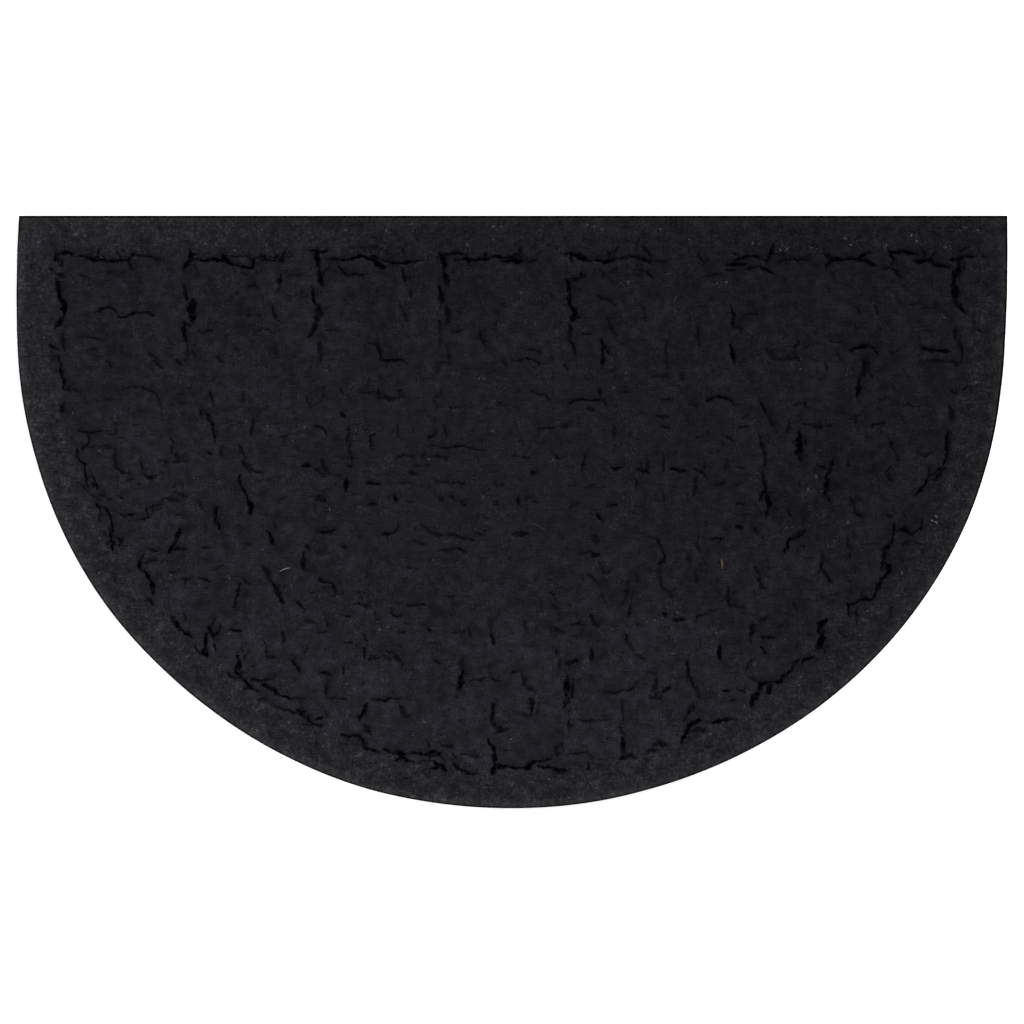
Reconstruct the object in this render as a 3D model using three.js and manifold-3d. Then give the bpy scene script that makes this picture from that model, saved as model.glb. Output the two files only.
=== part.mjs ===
// Half round coir doormat, lying coir face down with its creased rubber back up.
//
// Such a mat is moulded in one press: rubber is pressed round a bed of coir. It comes out as two
// pieces, a rubber tray whose floor is the mat's back, and the coir that fills the tray for good.
//
// Millimetres, +Z up, +X along the straight edge, +Y from the round side to the straight edge.
// The origin is on the floor, under the middle of the mat.

import * as THREE from 'three';
import { mergeVertices } from 'three/addons/utils/BufferGeometryUtils.js';
import Module from 'manifold-3d';

const wasm = await Module();
wasm.setup();

// Driving dimensions
const matWidth = 750;
const matLength = 448.4;
const matThickness = 10;
const rimWidth = 29;
const backThickness = 3;
const edgeRounding = 1.5;
const pieceGap = 0.3;

// The sides run straight from the corners to the shoulders, and a rounded curve joins them.
// A squareness of 2 would make the curve half an ellipse.
const shoulderDepth = 81;
const squareness = 2.026;
const sideSteps = 6;
const curveSteps = 96;

// A crease is a ragged V in the back. It is wider than the dark line that shows at its bottom,
// and it stops well short of the coir.
const creaseSpread = 1.6;
const creaseSteepness = 0.42;
const creaseDepthLimit = 1.7;
const cutHeight = 0.4;

// How far the moulded edge strays outwards from the even outline, on either side of the mat
// y, left, right
const edgeWander = [
  [224, -1.9, -0.2],
  [198, -0.6, 0.0],
  [165, 0.0, -0.3],
  [130, -0.4, -1.7],
  [90, -0.2, -1.6],
  [40, -0.4, -0.2],
  [-6, 0.1, 0.9],
  [-60, 0.4, 1.1],
  [-85, 0.1, 1.1],
  [-120, -1.1, 0.7],
  [-150, -1.3, 0.1],
  [-188, -0.3, -1.6],
  [-211, 2.1, -2.6],
  [-225, 0.0, 0.0],
];

// The main creases, one row each: where it starts, how far it runs across and up, how far its
// middle bows to the left of its run, and the width of its dark line

// Along the straight edge, where the rim meets the back
// x, y, across, up, bow, width
const straightEdgeCreases = [
  [-346, 199, 1, -9, 0.0, 2.5],
  [-346, 195, 30, -2, 1.0, 2.2],
  [-319, 192, 12, -1, 0.0, 3.6],
  [-309, 190, 20, 0, 0.5, 1.8],
  [-287, 195, 21, -3, 0.5, 1.5],
  [-243, 198, -4, -13, 1.0, 3.2],
  [-243, 192, 27, -2, 0.0, 2.2],
  [-220, 195, 5, -6, 0.0, 3.6],
  [-216, 189, 20, -4, -1.0, 2.2],
  [-199, 191, 22, 2, 1.5, 1.8],
  [-152, 198, 13, 0, -0.5, 2.2],
  [-139, 191, 15, 0, 0.0, 1.8],
  [-125, 191, 22, 0, 2.5, 2.0],
  [-107, 193, 9, -9, 0.0, 3.6],
  [-101, 191, 32, 0, -2.5, 2.2],
  [-52, 194, 18, 1, 1.5, 2.0],
  [-42, 191, 26, 1, 0.0, 2.2],
  [-18, 193, 21, 0, 0.0, 2.0],
  [-6, 190, 24, 1, -0.5, 2.2],
  [41, 195, 18, -4, 1.5, 2.4],
  [59, 190, 20, 1, -1.0, 2.3],
  [90, 193, 14, -4, 1.5, 2.6],
  [162, 188, 17, 0, 0.0, 2.2],
  [167, 190, 16, 4, 1.0, 2.0],
  [182, 194, 12, -3, 0.7, 2.0],
  [193, 190, 4, 11, -1.0, 2.8],
  [207, 191, 18, 0, 0.0, 1.8],
  [241, 192, 22, 1, -0.5, 2.4],
  [262, 192, 12, 5, 1.0, 2.0],
  [262, 192, 13, -4, 0.7, 2.2],
  [286, 197, 19, -1, 0.5, 2.3],
  [303, 191, 16, 0, -1.0, 2.6],
  [331, 191, 19, 3, -0.5, 2.7],
];

// Down the sides of the panels that line the straight edge
// x, y, across, up, bow, width
const panelCreases = [
  [-344, 176, 4, -18, -1.0, 3.2],
  [-339, 161, 0, -12, 1.0, 3.4],
  [-339, 150, -6, -11, 1.0, 2.4],
  [-248, 171, 1, -10, 0.0, 2.4],
  [-242, 162, 0, -19, 0.5, 5.0],
  [-248, 144, 3, -14, -2.0, 3.0],
  [-147, 198, 3, -26, -2.0, 3.0],
  [-151, 170, 2, -12, 0.0, 2.6],
  [-148, 146, -5, -12, 1.0, 2.6],
  [-124, 180, 16, 1, -0.7, 2.0],
  [-97, 115, 17, 1, 0.0, 2.2],
  [-54, 196, 2, -14, 1.0, 3.2],
  [-55, 171, 1, -15, 1.0, 3.3],
  [43, 176, 0, -20, 1.0, 3.3],
  [48, 155, -3, -13, 0.0, 3.2],
  [44, 142, -1, -12, 0.0, 2.6],
  [68, 132, 0, -20, 1.0, 2.6],
  [166, 128, 2, -15, 0.0, 3.2],
  [255, 122, 17, 4, 1.0, 2.4],
  [263, 102, -2, -15, 1.0, 3.6],
  [309, 124, 23, -2, -0.7, 3.0],
  [338, 190, -3, -12, 0.5, 4.5],
  [335, 179, 0, -20, -0.3, 4.0],
  [335, 161, 7, -10, 0.0, 3.2],
];

// Across the middle of the back
// x, y, across, up, bow, width
const middleCreases = [
  [-231, 77, 6, -18, 0.5, 2.8],
  [-206, 29, 9, -30, 0.0, 2.6],
  [-223, 4, -2, -10, 0.0, 3.7],
  [-251, -12, -8, -19, 0.5, 3.0],
  [-184, -14, 3, -11, 0.0, 3.8],
  [-158, -31, 1, -13, 0.3, 3.0],
  [-181, -53, 8, -16, 0.0, 3.2],
  [-206, -54, -3, -12, 0.3, 2.8],
  [-125, 25, -1, -9, 0.0, 3.2],
  [-52, 49, 22, 0, 0.8, 2.1],
  [43, 83, 29, -1, 3.0, 2.4],
  [74, 34, 11, 0, -0.4, 2.7],
  [121, 34, 11, -2, -0.5, 3.0],
  [151, 87, 13, 0, 0.0, 2.6],
  [188, 85, 4, -12, -0.4, 2.6],
  [217, 61, 1, -22, 0.0, 5.0],
  [193, 20, 1, -17, 1.5, 4.0],
  [238, 30, -1, -17, 0.4, 2.8],
  [222, -13, -8, -7, 0.0, 3.8],
  [209, -21, -3, -10, 0.4, 3.2],
];

// Round the inside of the rim, from the left side by the foot of the curve to the right side
// x, y, across, up, bow, width
const roundSideCreases = [
  [-342, 111, 3, -18, 0.5, 2.9],
  [-328, 62, 17, -1, -0.5, 2.3],
  [-329, 49, 8, -29, -1.0, 2.6],
  [-308, 4, 6, -12, 0.5, 2.8],
  [-302, -6, 0, -22, -2.0, 3.0],
  [-282, -36, 10, -26, 1.0, 3.1],
  [-257, -79, 5, -11, 0.7, 3.2],
  [-252, -89, 11, -5, 0.0, 2.6],
  [-229, -86, 3, -11, 0.0, 3.4],
  [-231, -91, -1, -17, -1.5, 3.2],
  [-207, -108, -1, -14, 0.4, 3.2],
  [-208, -120, 10, -12, 0.0, 3.2],
  [-198, -126, 16, -1, -0.8, 2.2],
  [-189, -130, 11, -5, 0.0, 3.0],
  [-111, -145, -4, -13, 0.3, 3.4],
  [-102, -141, 17, 0, 0.0, 2.2],
  [-114, -169, 2, -10, 0.3, 3.2],
  [-113, -178, 13, -4, 0.3, 2.3],
  [-91, -182, 25, -1, 1.0, 2.8],
  [-67, -183, 15, 1, -0.3, 3.3],
  [-59, -189, 10, -6, 0.0, 3.2],
  [-39, -196, 12, -1, 0.0, 2.5],
  [-37, -119, -3, -16, 0.5, 3.6],
  [-17, -172, 4, -20, -0.5, 3.4],
  [-14, -191, 25, -3, -0.7, 2.8],
  [11, -192, 18, 5, 1.0, 2.7],
  [19, -192, 23, -3, 0.5, 3.0],
  [42, -123, 0, -16, 0.0, 3.8],
  [71, -136, 16, 2, -0.4, 2.2],
  [84, -170, 1, -15, 0.0, 3.2],
  [133, -166, 14, 1, 0.6, 2.3],
  [143, -155, -13, -13, 0.0, 3.8],
  [158, -100, -1, -12, 0.0, 3.5],
  [188, -128, -6, -15, 0.8, 3.5],
  [199, -129, -13, 0, 0.0, 2.6],
  [213, -118, -10, -10, -0.6, 3.0],
  [216, -110, -4, -10, -0.4, 2.8],
  [237, -80, -5, -8, 0.0, 3.6],
  [232, -85, 3, -10, 0.0, 4.6],
  [235, -92, -4, -13, 1.0, 4.6],
  [265, -66, -11, -5, 0.5, 2.5],
  [286, -42, -11, -18, 0.0, 3.2],
  [288, -22, -8, -20, -2.0, 2.9],
  [289, -8, -1, -15, 0.0, 3.0],
  [294, -12, 15, 0, -3.0, 2.9],
  [316, 26, -11, -13, 0.4, 2.5],
  [326, 33, -7, -9, -0.4, 2.2],
  [330, 61, 0, -18, 0.0, 3.0],
];

// A crease shorter than this has fewer bends
const longCrease = 14;

// How a crease swells and sways between its two pointed ends
// share of its run, share of its width, sideways step in widths
const longCreaseSections = [
  [0.14, 0.65, 0.15],
  [0.38, 1.0, -0.12],
  [0.64, 0.8, 0.15],
  [0.86, 0.6, -0.08],
];
const shortCreaseSections = [
  [0.25, 0.85, 0.12],
  [0.68, 1.0, -0.12],
];

const backTop = matThickness;
const straightEdgeY = matLength / 2;
const shoulderY = straightEdgeY - shoulderDepth;
const curveDepth = matLength - shoulderDepth;

// The wander of one side of the edge at height y, read between the rows of its table
function wanderAt(y, side) {
  const column = side < 0 ? 1 : 2;
  const below = edgeWander.findIndex((row) => row[0] <= y);
  const upper = edgeWander[Math.max(below - 1, 0)];
  const lower = edgeWander[Math.max(below, 1)];
  const share = THREE.MathUtils.clamp((upper[0] - y) / (upper[0] - lower[0]), 0, 1);
  return THREE.MathUtils.lerp(upper[column], lower[column], share);
}

// A point of the edge with its wander
function edgePoint(x, y) {
  const side = Math.sign(x);
  return new THREE.Vector2(x + side * wanderAt(y, side), y);
}

// The moulded edge, from the right corner round the curve to the left corner
function mouldedEdge() {
  const points = [];
  for (let step = 0; step < sideSteps; step += 1) {
    points.push(edgePoint(matWidth / 2, straightEdgeY - (shoulderDepth * step) / sideSteps));
  }
  for (let step = 0; step <= curveSteps; step += 1) {
    const turn = (Math.PI * step) / curveSteps;
    const reach = Math.sign(Math.cos(turn)) * Math.abs(Math.cos(turn)) ** (2 / squareness);
    const drop = Math.sin(turn) ** (2 / squareness);
    points.push(edgePoint((matWidth / 2) * reach, shoulderY - curveDepth * drop));
  }
  for (let step = sideSteps - 1; step >= 0; step -= 1) {
    points.push(edgePoint(-matWidth / 2, straightEdgeY - (shoulderDepth * step) / sideSteps));
  }
  return points;
}

// The half round outline, moved inwards by an even inset
function matOutline(inset) {
  const edge = mouldedEdge();
  const top = straightEdgeY - inset;
  const inner = edge.map((point, index) => {
    const before = edge[Math.max(index - 1, 0)];
    const after = edge[Math.min(index + 1, edge.length - 1)];
    const along = after.clone().sub(before).normalize();
    const inwards = new THREE.Vector2(along.y, -along.x);
    return point.clone().addScaledVector(inwards, inset);
  });
  const first = inner.findIndex((point) => point.y < top);
  const last = inner.findLastIndex((point) => point.y < top);
  inner[first - 1].setY(top);
  inner[last + 1].setY(top);
  return new THREE.Shape(inner.slice(first - 1, last + 2));
}

// A closed mesh with shared corners as a solid that can be cut
function solidOf(geometry) {
  const bare = geometry.clone();
  bare.deleteAttribute('normal');
  bare.deleteAttribute('uv');
  const merged = mergeVertices(bare);
  return new wasm.Manifold(new wasm.Mesh({
    numProp: 3,
    vertProperties: new Float32Array(merged.attributes.position.array),
    triVerts: new Uint32Array(merged.index.array),
  }));
}

// A cut solid as a mesh again
function geometryOf(solid) {
  const { vertProperties, triVerts } = solid.getMesh();
  const geometry = new THREE.BufferGeometry();
  geometry.setAttribute('position', new THREE.BufferAttribute(vertProperties, 3));
  geometry.setIndex(new THREE.BufferAttribute(triVerts, 1));
  geometry.computeVertexNormals();
  return geometry;
}

// The shape that one crease takes out of the back: a run of V sections between two points
function creaseCut([x, y, across, up, bow, width]) {
  const run = new THREE.Vector2(across, up);
  const left = new THREE.Vector2(-up, across).normalize();
  const depth = Math.min(width * creaseSteepness, creaseDepthLimit);
  const lipWidth = width * creaseSpread * (1 + cutHeight / depth);
  const lipHeight = backTop + cutHeight;

  const corner = (share, sideways, height) => {
    const arch = 4 * share * (1 - share) * bow;
    const place = new THREE.Vector2(x, y).addScaledVector(run, share);
    place.addScaledVector(left, arch + sideways);
    return [place.x, place.y, height];
  };

  const sections = run.length() < longCrease ? shortCreaseSections : longCreaseSections;
  const corners = [corner(0, 0, lipHeight)];
  for (const [share, fullness, sway] of sections) {
    const middle = sway * width;
    const reach = (lipWidth / 2) * fullness;
    corners.push(corner(share, middle + reach, lipHeight));
    corners.push(corner(share, middle, backTop - depth * fullness));
    corners.push(corner(share, middle - reach, lipHeight));
  }
  corners.push(corner(1, 0, lipHeight));

  const faces = [];
  const last = corners.length - 1;
  for (let turn = 0; turn < 3; turn += 1) {
    const next = (turn + 1) % 3;
    faces.push([0, 1 + turn, 1 + next]);
    for (let near = 1; near + 3 < last; near += 3) {
      faces.push([near + turn, near + 3 + turn, near + 3 + next]);
      faces.push([near + turn, near + 3 + next, near + next]);
    }
    faces.push([last, last - 3 + next, last - 3 + turn]);
  }

  const geometry = new THREE.BufferGeometry();
  geometry.setAttribute('position', new THREE.Float32BufferAttribute(corners.flat(), 3));
  geometry.setIndex(faces.flat());
  return solidOf(geometry);
}

// The rubber tray: a half round slab with rounded edges, hollowed from below, creased on top
function rubberBack() {
  const slab = new THREE.ExtrudeGeometry(matOutline(0), {
    depth: matThickness - 2 * edgeRounding,
    bevelEnabled: true,
    bevelThickness: edgeRounding,
    bevelSize: edgeRounding,
    bevelOffset: -edgeRounding,
    bevelSegments: 2,
  });
  slab.translate(0, 0, edgeRounding);

  const hollow = new THREE.ExtrudeGeometry(matOutline(rimWidth), {
    depth: matThickness - backThickness + cutHeight,
    bevelEnabled: false,
  });
  hollow.translate(0, 0, -cutHeight);

  const creases = [
    ...straightEdgeCreases,
    ...panelCreases,
    ...middleCreases,
    ...roundSideCreases,
  ];
  let tray = solidOf(slab).subtract(solidOf(hollow));
  for (const crease of creases) {
    tray = tray.subtract(creaseCut(crease));
  }

  const rubber = new THREE.MeshStandardMaterial({
    color: 0x1c1b20,
    roughness: 0.82,
    metalness: 0,
    flatShading: true,
  });
  const mesh = new THREE.Mesh(geometryOf(tray), rubber);
  mesh.name = 'rubber_back';
  return mesh;
}

// The coir: a flat bed that fills the tray, its cut ends level with the rim
function coirPile() {
  const bed = new THREE.ExtrudeGeometry(matOutline(rimWidth + pieceGap), {
    depth: matThickness - backThickness - pieceGap,
    bevelEnabled: false,
  });
  const coir = new THREE.MeshStandardMaterial({ color: 0x7d5733, roughness: 1, metalness: 0 });
  const mesh = new THREE.Mesh(bed, coir);
  mesh.name = 'coir_pile';
  return mesh;
}

const doormat = new THREE.Group();
doormat.add(rubberBack());
doormat.add(coirPile());

export default doormat;
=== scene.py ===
import math

import bpy
import numpy as np
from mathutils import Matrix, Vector
from mathutils.bvhtree import BVHTree
from mathutils.geometry import delaunay_2d_cdt


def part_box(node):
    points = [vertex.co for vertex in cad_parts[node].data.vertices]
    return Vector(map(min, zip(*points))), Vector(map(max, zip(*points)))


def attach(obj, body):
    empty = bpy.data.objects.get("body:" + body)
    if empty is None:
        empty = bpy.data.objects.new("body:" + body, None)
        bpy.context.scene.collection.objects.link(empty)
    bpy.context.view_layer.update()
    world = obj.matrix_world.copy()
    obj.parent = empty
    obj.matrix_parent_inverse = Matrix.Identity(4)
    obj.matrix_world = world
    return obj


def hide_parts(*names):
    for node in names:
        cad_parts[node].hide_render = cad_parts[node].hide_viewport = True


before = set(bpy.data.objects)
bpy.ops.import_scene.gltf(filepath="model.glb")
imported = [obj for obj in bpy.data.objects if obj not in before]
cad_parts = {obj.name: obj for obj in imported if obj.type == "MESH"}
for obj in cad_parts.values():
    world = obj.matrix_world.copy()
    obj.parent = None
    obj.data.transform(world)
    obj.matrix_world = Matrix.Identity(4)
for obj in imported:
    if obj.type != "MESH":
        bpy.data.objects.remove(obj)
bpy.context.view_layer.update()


# Coir pile
# Coconut fibres cut to one length, which stand in the hollow of the rubber inside its solid rim.
# They are moulded into it and trimmed level with the rim, so the mat lies on their cut ends.

# Sizes are in millimetres, and a piece's mesh is brought to metres when it is made
MM = 0.001
rubber_low, rubber_high = (Vector(corner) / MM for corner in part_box("rubber_back"))
coir_low, coir_high = (Vector(corner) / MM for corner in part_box("coir_pile"))
half_width = 375.0
shoulder_depth = 81.0
squareness = 2.026
rim_width = 29.0
piece_gap = 0.3
straight_edge_y = rubber_high.y
shoulder_y = straight_edge_y - shoulder_depth
round_depth = shoulder_y - rubber_low.y

# How far the edge strays outwards from its true curve, from the straight edge to the round one
edge_wander = np.array([
    # y, left, right
    (224, -1.9, -0.2),
    (198, -0.6, 0.0),
    (165, 0.0, -0.3),
    (130, -0.4, -1.7),
    (90, -0.2, -1.6),
    (40, -0.4, -0.2),
    (-6, 0.1, 0.9),
    (-60, 0.4, 1.1),
    (-85, 0.1, 1.1),
    (-120, -1.1, 0.7),
    (-150, -1.3, 0.1),
    (-188, -0.3, -1.6),
    (-211, 2.1, -2.6),
    (-225, 0.0, 0.0),
])
curve_steps = 720
round_points = 700
straight_points = 390


def mat_outline(inset):
    """Points round the mat, anticlockwise from its left corner, drawn in from the edge by inset.

    Every inset gives the same number of points, so two outlines join into a strip of faces.
    """
    turn = np.linspace(math.pi, 0, curve_steps + 1)
    round_x = half_width * np.sign(np.cos(turn)) * np.abs(np.cos(turn)) ** (2 / squareness)
    round_y = shoulder_y - round_depth * np.abs(np.sin(turn)) ** (2 / squareness)
    side_y = np.arange(straight_edge_y, shoulder_y, -1.0)
    x = np.concatenate((np.full(len(side_y), -half_width), round_x, np.full(len(side_y), half_width)))
    y = np.concatenate((side_y, round_y, side_y[::-1]))
    falling = edge_wander[::-1]
    left_stray = np.interp(y, falling[:, 0], falling[:, 1])
    right_stray = np.interp(y, falling[:, 0], falling[:, 2])
    x += np.where(x < 0, -left_stray, right_stray)
    tangent = np.stack((np.gradient(x), np.gradient(y)))
    tangent /= np.hypot(*tangent)
    x -= inset * tangent[1]
    y += inset * tangent[0]
    top = straight_edge_y - inset
    below = np.flatnonzero(y < top)
    kept = slice(max(below[0] - 1, 0), below[-1] + 2)
    path = np.stack((x[kept], np.minimum(y[kept], top)), axis=1)
    path[[0, -1], 1] = top
    run = np.concatenate(([0], np.cumsum(np.hypot(*np.diff(path, axis=0).T))))
    even = np.linspace(0, run[-1], round_points)
    rounded = np.stack([np.interp(even, run, path[:, axis]) for axis in (0, 1)], axis=1)
    straight_x = np.linspace(path[-1, 0], path[0, 0], straight_points + 2)[1:-1]
    straight = np.stack((straight_x, np.full(straight_points, top)), axis=1)
    return np.concatenate((rounded, straight))


def inside_outline(x, y, inset):
    """True where a point lies inside the mat's outline at this inset."""
    rounded = mat_outline(inset)[:round_points]
    lowest = rounded[:, 1].argmin()
    left = np.interp(y, rounded[lowest::-1, 1], rounded[lowest::-1, 0])
    right = np.interp(y, rounded[lowest:, 1], rounded[lowest:, 0])
    level = (y > rounded[lowest, 1]) & (y < straight_edge_y - inset)
    return level & (x > left) & (x < right)


def fill_outline(outline, inner):
    """Triangles, facing up, that fill an outline through the points inside it."""
    points = [Vector(point) for point in np.concatenate((outline, inner)).tolist()]
    edges = [(index, (index + 1) % len(outline)) for index in range(len(outline))]
    inside_only = 1
    found = delaunay_2d_cdt(points, edges, [], inside_only, 1e-6)
    return np.array(found[2])


def strip(first, second, count):
    """Faces between two loops of count points, whose first points have these numbers.

    They face outwards when the first loop is the upper one of an outer wall.
    """
    here = np.arange(count)
    following = (here + 1) % count
    quads = (first + here, second + here, second + following, first + following)
    return np.stack(quads, axis=1)


def on_level(outline, height):
    """An outline's points at one height."""
    return np.column_stack((outline, np.full(len(outline), height)))


def put_in_scene(name, data):
    """A new object in the scene that shows this mesh, light or camera."""
    item = bpy.data.objects.new(name, data)
    bpy.context.scene.collection.objects.link(item)
    return item


def make_piece(name, points, faces):
    """A new object from points in millimetres, with its place in its mesh."""
    mesh = bpy.data.meshes.new(name)
    mesh.from_pydata((np.asarray(points) * MM).tolist(), [], [list(map(int, face)) for face in faces])
    return put_in_scene(name, mesh)


def soft_noise(x, y, lump, seed):
    """Random heights from -1 to 1, smooth between lumps of the given size, the same each run."""
    side = 512
    heights = np.random.default_rng(seed).uniform(-1, 1, (side, side))
    u = x / lump
    v = y / lump
    column = np.floor(u).astype(int)
    row = np.floor(v).astype(int)
    u -= column
    v -= row
    u = u * u * (3 - 2 * u)
    v = v * v * (3 - 2 * v)
    low = heights[row % side, column % side] * (1 - u) + heights[row % side, (column + 1) % side] * u
    up = (row + 1) % side
    high = heights[up, column % side] * (1 - u) + heights[up, (column + 1) % side] * u
    return low * (1 - v) + high * v


class Socket:
    """A node's output. Sums and products of it add Math nodes, in a material or in geometry."""

    def __init__(self, tree, socket=None):
        self.tree = tree
        self.socket = socket

    def add(self, kind, settings=None, inputs=None, output=0):
        """A node of any kind: its settings are set first, then its sockets' values or links."""
        node = self.tree.nodes.new(kind)
        for name, value in (settings or {}).items():
            setattr(node, name, value)
        for name, value in (inputs or {}).items():
            if isinstance(value, Socket):
                self.tree.links.new(value.socket, node.inputs[name])
            else:
                node.inputs[name].default_value = value
        return Socket(self.tree, node.outputs[output] if len(node.outputs) else None)

    def maths(self, operation, first, second=0.0):
        """A Math node on two values or sockets."""
        return self.add("ShaderNodeMath", {"operation": operation}, {0: first, 1: second})

    def __add__(self, other):
        return self.maths("ADD", self, other)

    def __radd__(self, other):
        return self.maths("ADD", other, self)

    def __sub__(self, other):
        return self.maths("SUBTRACT", self, other)

    def __rsub__(self, other):
        return self.maths("SUBTRACT", other, self)

    def __mul__(self, other):
        return self.maths("MULTIPLY", self, other)

    def __rmul__(self, other):
        return self.maths("MULTIPLY", other, self)

    def between(self, low, high, to_low=0.0, to_high=1.0):
        """The value carried over from one range to another, and held at its ends."""
        inputs = {"Value": self, "From Min": low, "From Max": high, "To Min": to_low, "To Max": to_high}
        return self.add("ShaderNodeMapRange", {"interpolation_type": "SMOOTHSTEP"}, inputs)

    def swing(self, amount):
        """A noise brought to plus or minus this amount."""
        return self.between(0.25, 0.75, -amount, amount)

    def tint(self, colour):
        """A colour made lighter or darker by this value."""
        return self.add("ShaderNodeVectorMath", {"operation": "SCALE"}, {0: colour, "Scale": self})


def new_material(name):
    """An empty material, a Socket to add its nodes from, and one of a point's place on its piece."""
    material = bpy.data.materials.new(name)
    material.use_nodes = True
    material.node_tree.nodes.clear()
    start = Socket(material.node_tree)
    return material, start, start.add("ShaderNodeTexCoord", None, None, "Object")


def along_axis(start, vector, axis):
    """One part of a vector: X, Y or Z."""
    return start.add("ShaderNodeSeparateXYZ", None, {0: vector}, axis)


def noise(start, place, lump, detail=2.0, stretch=(1, 1, 1), roughness=0.5):
    """Noise with lumps of a size in millimetres, drawn out along the axes with a small stretch."""
    scaled = start.add("ShaderNodeMapping", None, {"Vector": place, "Scale": stretch})
    inputs = {"Vector": scaled, "Scale": 1 / (lump * MM), "Detail": detail, "Roughness": roughness}
    return start.add("ShaderNodeTexNoise", None, inputs)


def attribute(start, name):
    """A number kept on the mesh, such as how deep a point lies in a crease."""
    return start.add("ShaderNodeAttribute", {"attribute_name": name}, None, "Fac")


def finish_material(start, colour, roughness, specular, height, relief):
    """The shader of a dull material, with its colour, and its fine relief in millimetres."""
    bump = start.add("ShaderNodeBump", None, {"Height": height, "Distance": relief * MM, "Strength": 1.0})
    inputs = {"Base Color": colour, "Roughness": roughness, "Specular IOR Level": specular, "Normal": bump}
    shader = start.add("ShaderNodeBsdfPrincipled", None, inputs)
    start.add("ShaderNodeOutputMaterial", None, {"Surface": shader})


def coir_material():
    """Brown coconut fibre: each bristle its own shade, with fine streaks along it."""
    material, start, place = new_material("coir_fibre")
    streaks = noise(start, place, 0.5, 3.0, (1, 1, 0.15))
    patches = noise(start, place, 14.0)
    shade = attribute(start, "shade").between(0, 1, 0.55, 1.35)
    tone = shade * streaks.between(0.3, 0.7, 0.7, 1.25) * patches.between(0.3, 0.7, 0.85, 1.15)
    finish_material(start, tone.tint((0.27, 0.145, 0.06)), 0.85, 0.2, streaks, 0.3)
    return material


def geometry_tree(name, sizes):
    """A new Geometry Nodes tree with named inputs, and the Socket of each of them by name."""
    tree = bpy.data.node_groups.new(name, "GeometryNodeTree")
    tree.interface.new_socket("Geometry", in_out="INPUT", socket_type="NodeSocketGeometry")
    for size in sizes:
        tree.interface.new_socket(size, in_out="INPUT", socket_type="NodeSocketFloat")
    tree.interface.new_socket("Geometry", in_out="OUTPUT", socket_type="NodeSocketGeometry")
    inputs = tree.nodes.new("NodeGroupInput")
    return Socket(tree), {socket.name: Socket(tree, socket) for socket in inputs.outputs if socket.name}


def close_tree(start, geometry, material):
    """End a tree: its instances made real, and its material set."""
    real = start.add("GeometryNodeRealizeInstances", None, {"Geometry": geometry})
    dressed = start.add("GeometryNodeSetMaterial", None, {"Geometry": real, "Material": material})
    start.add("NodeGroupOutput", None, {"Geometry": dressed})


def grow(name, base, start, sizes):
    """A plain mesh of what a tree makes on the base piece, in that piece's place."""
    modifier = base.modifiers.new("grow", "NODES")
    modifier.node_group = start.tree
    for item in start.tree.interface.items_tree:
        if item.in_out == "INPUT" and item.name in sizes:
            modifier[item.identifier] = sizes[item.name]
    evaluated = base.evaluated_get(bpy.context.evaluated_depsgraph_get())
    mesh = bpy.data.meshes.new_from_object(evaluated)
    mesh.name = name
    bare = base.data
    bpy.data.objects.remove(base)
    bpy.data.meshes.remove(bare)
    return put_in_scene(name, mesh)


def random_value(start, low, high, seed):
    """A random number for each point or instance."""
    settings = {"data_type": "FLOAT"}
    return start.add("FunctionNodeRandomValue", settings, {2: low, 3: high, "Seed": seed}, 1)


def bristle_tree(material):
    """Bristles scattered over the underside of the bed, each leaning a little its own way."""
    start, size = geometry_tree("bristles", ("Density", "Root radius", "Tip radius", "Lean", "Tip gap"))
    normal = start.add("GeometryNodeInputNormal")
    inputs = {0: along_axis(start, normal, "Z"), 1: -0.5}
    underside = start.add("FunctionNodeCompare", {"operation": "LESS_THAN"}, inputs)
    settings = {"distribute_method": "RANDOM"}
    inputs = {"Mesh": size["Geometry"], "Selection": underside, "Density": size["Density"], "Seed": 7}
    points = start.add("GeometryNodeDistributePointsOnFaces", settings, inputs)
    shade = random_value(start, 0.0, 1.0, 11)
    inputs = {"Geometry": points, "Name": "shade", "Value": shade}
    points = start.add("GeometryNodeStoreNamedAttribute", {"domain": "POINT"}, inputs)
    root_height = along_axis(start, start.add("GeometryNodeInputPosition"), "Z")
    length = root_height - size["Tip gap"] * random_value(start, 0.2, 1.0, 13)
    inputs = {"Vertices": 3, "Radius Top": size["Tip radius"], "Radius Bottom": size["Root radius"],
              "Depth": 1.0}
    bristle = start.add("GeometryNodeMeshCone", None, inputs)
    lean = size["Lean"]
    tilt = start.add("ShaderNodeCombineXYZ", None, {
        "X": math.pi + lean * random_value(start, -1.0, 1.0, 17),
        "Y": lean * random_value(start, -1.0, 1.0, 19),
        "Z": random_value(start, 0.0, 2 * math.pi, 23),
    })
    scale = start.add("ShaderNodeCombineXYZ", None, {"X": 1.0, "Y": 1.0, "Z": length})
    inputs = {"Points": points, "Instance": bristle, "Rotation": tilt, "Scale": scale}
    bristles = start.add("GeometryNodeInstanceOnPoints", None, inputs)
    joined = start.add("GeometryNodeJoinGeometry", None, {"Geometry": bristles})
    start.tree.links.new(size["Geometry"].socket, joined.socket.node.inputs["Geometry"])
    close_tree(start, joined, material)
    return start


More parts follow.
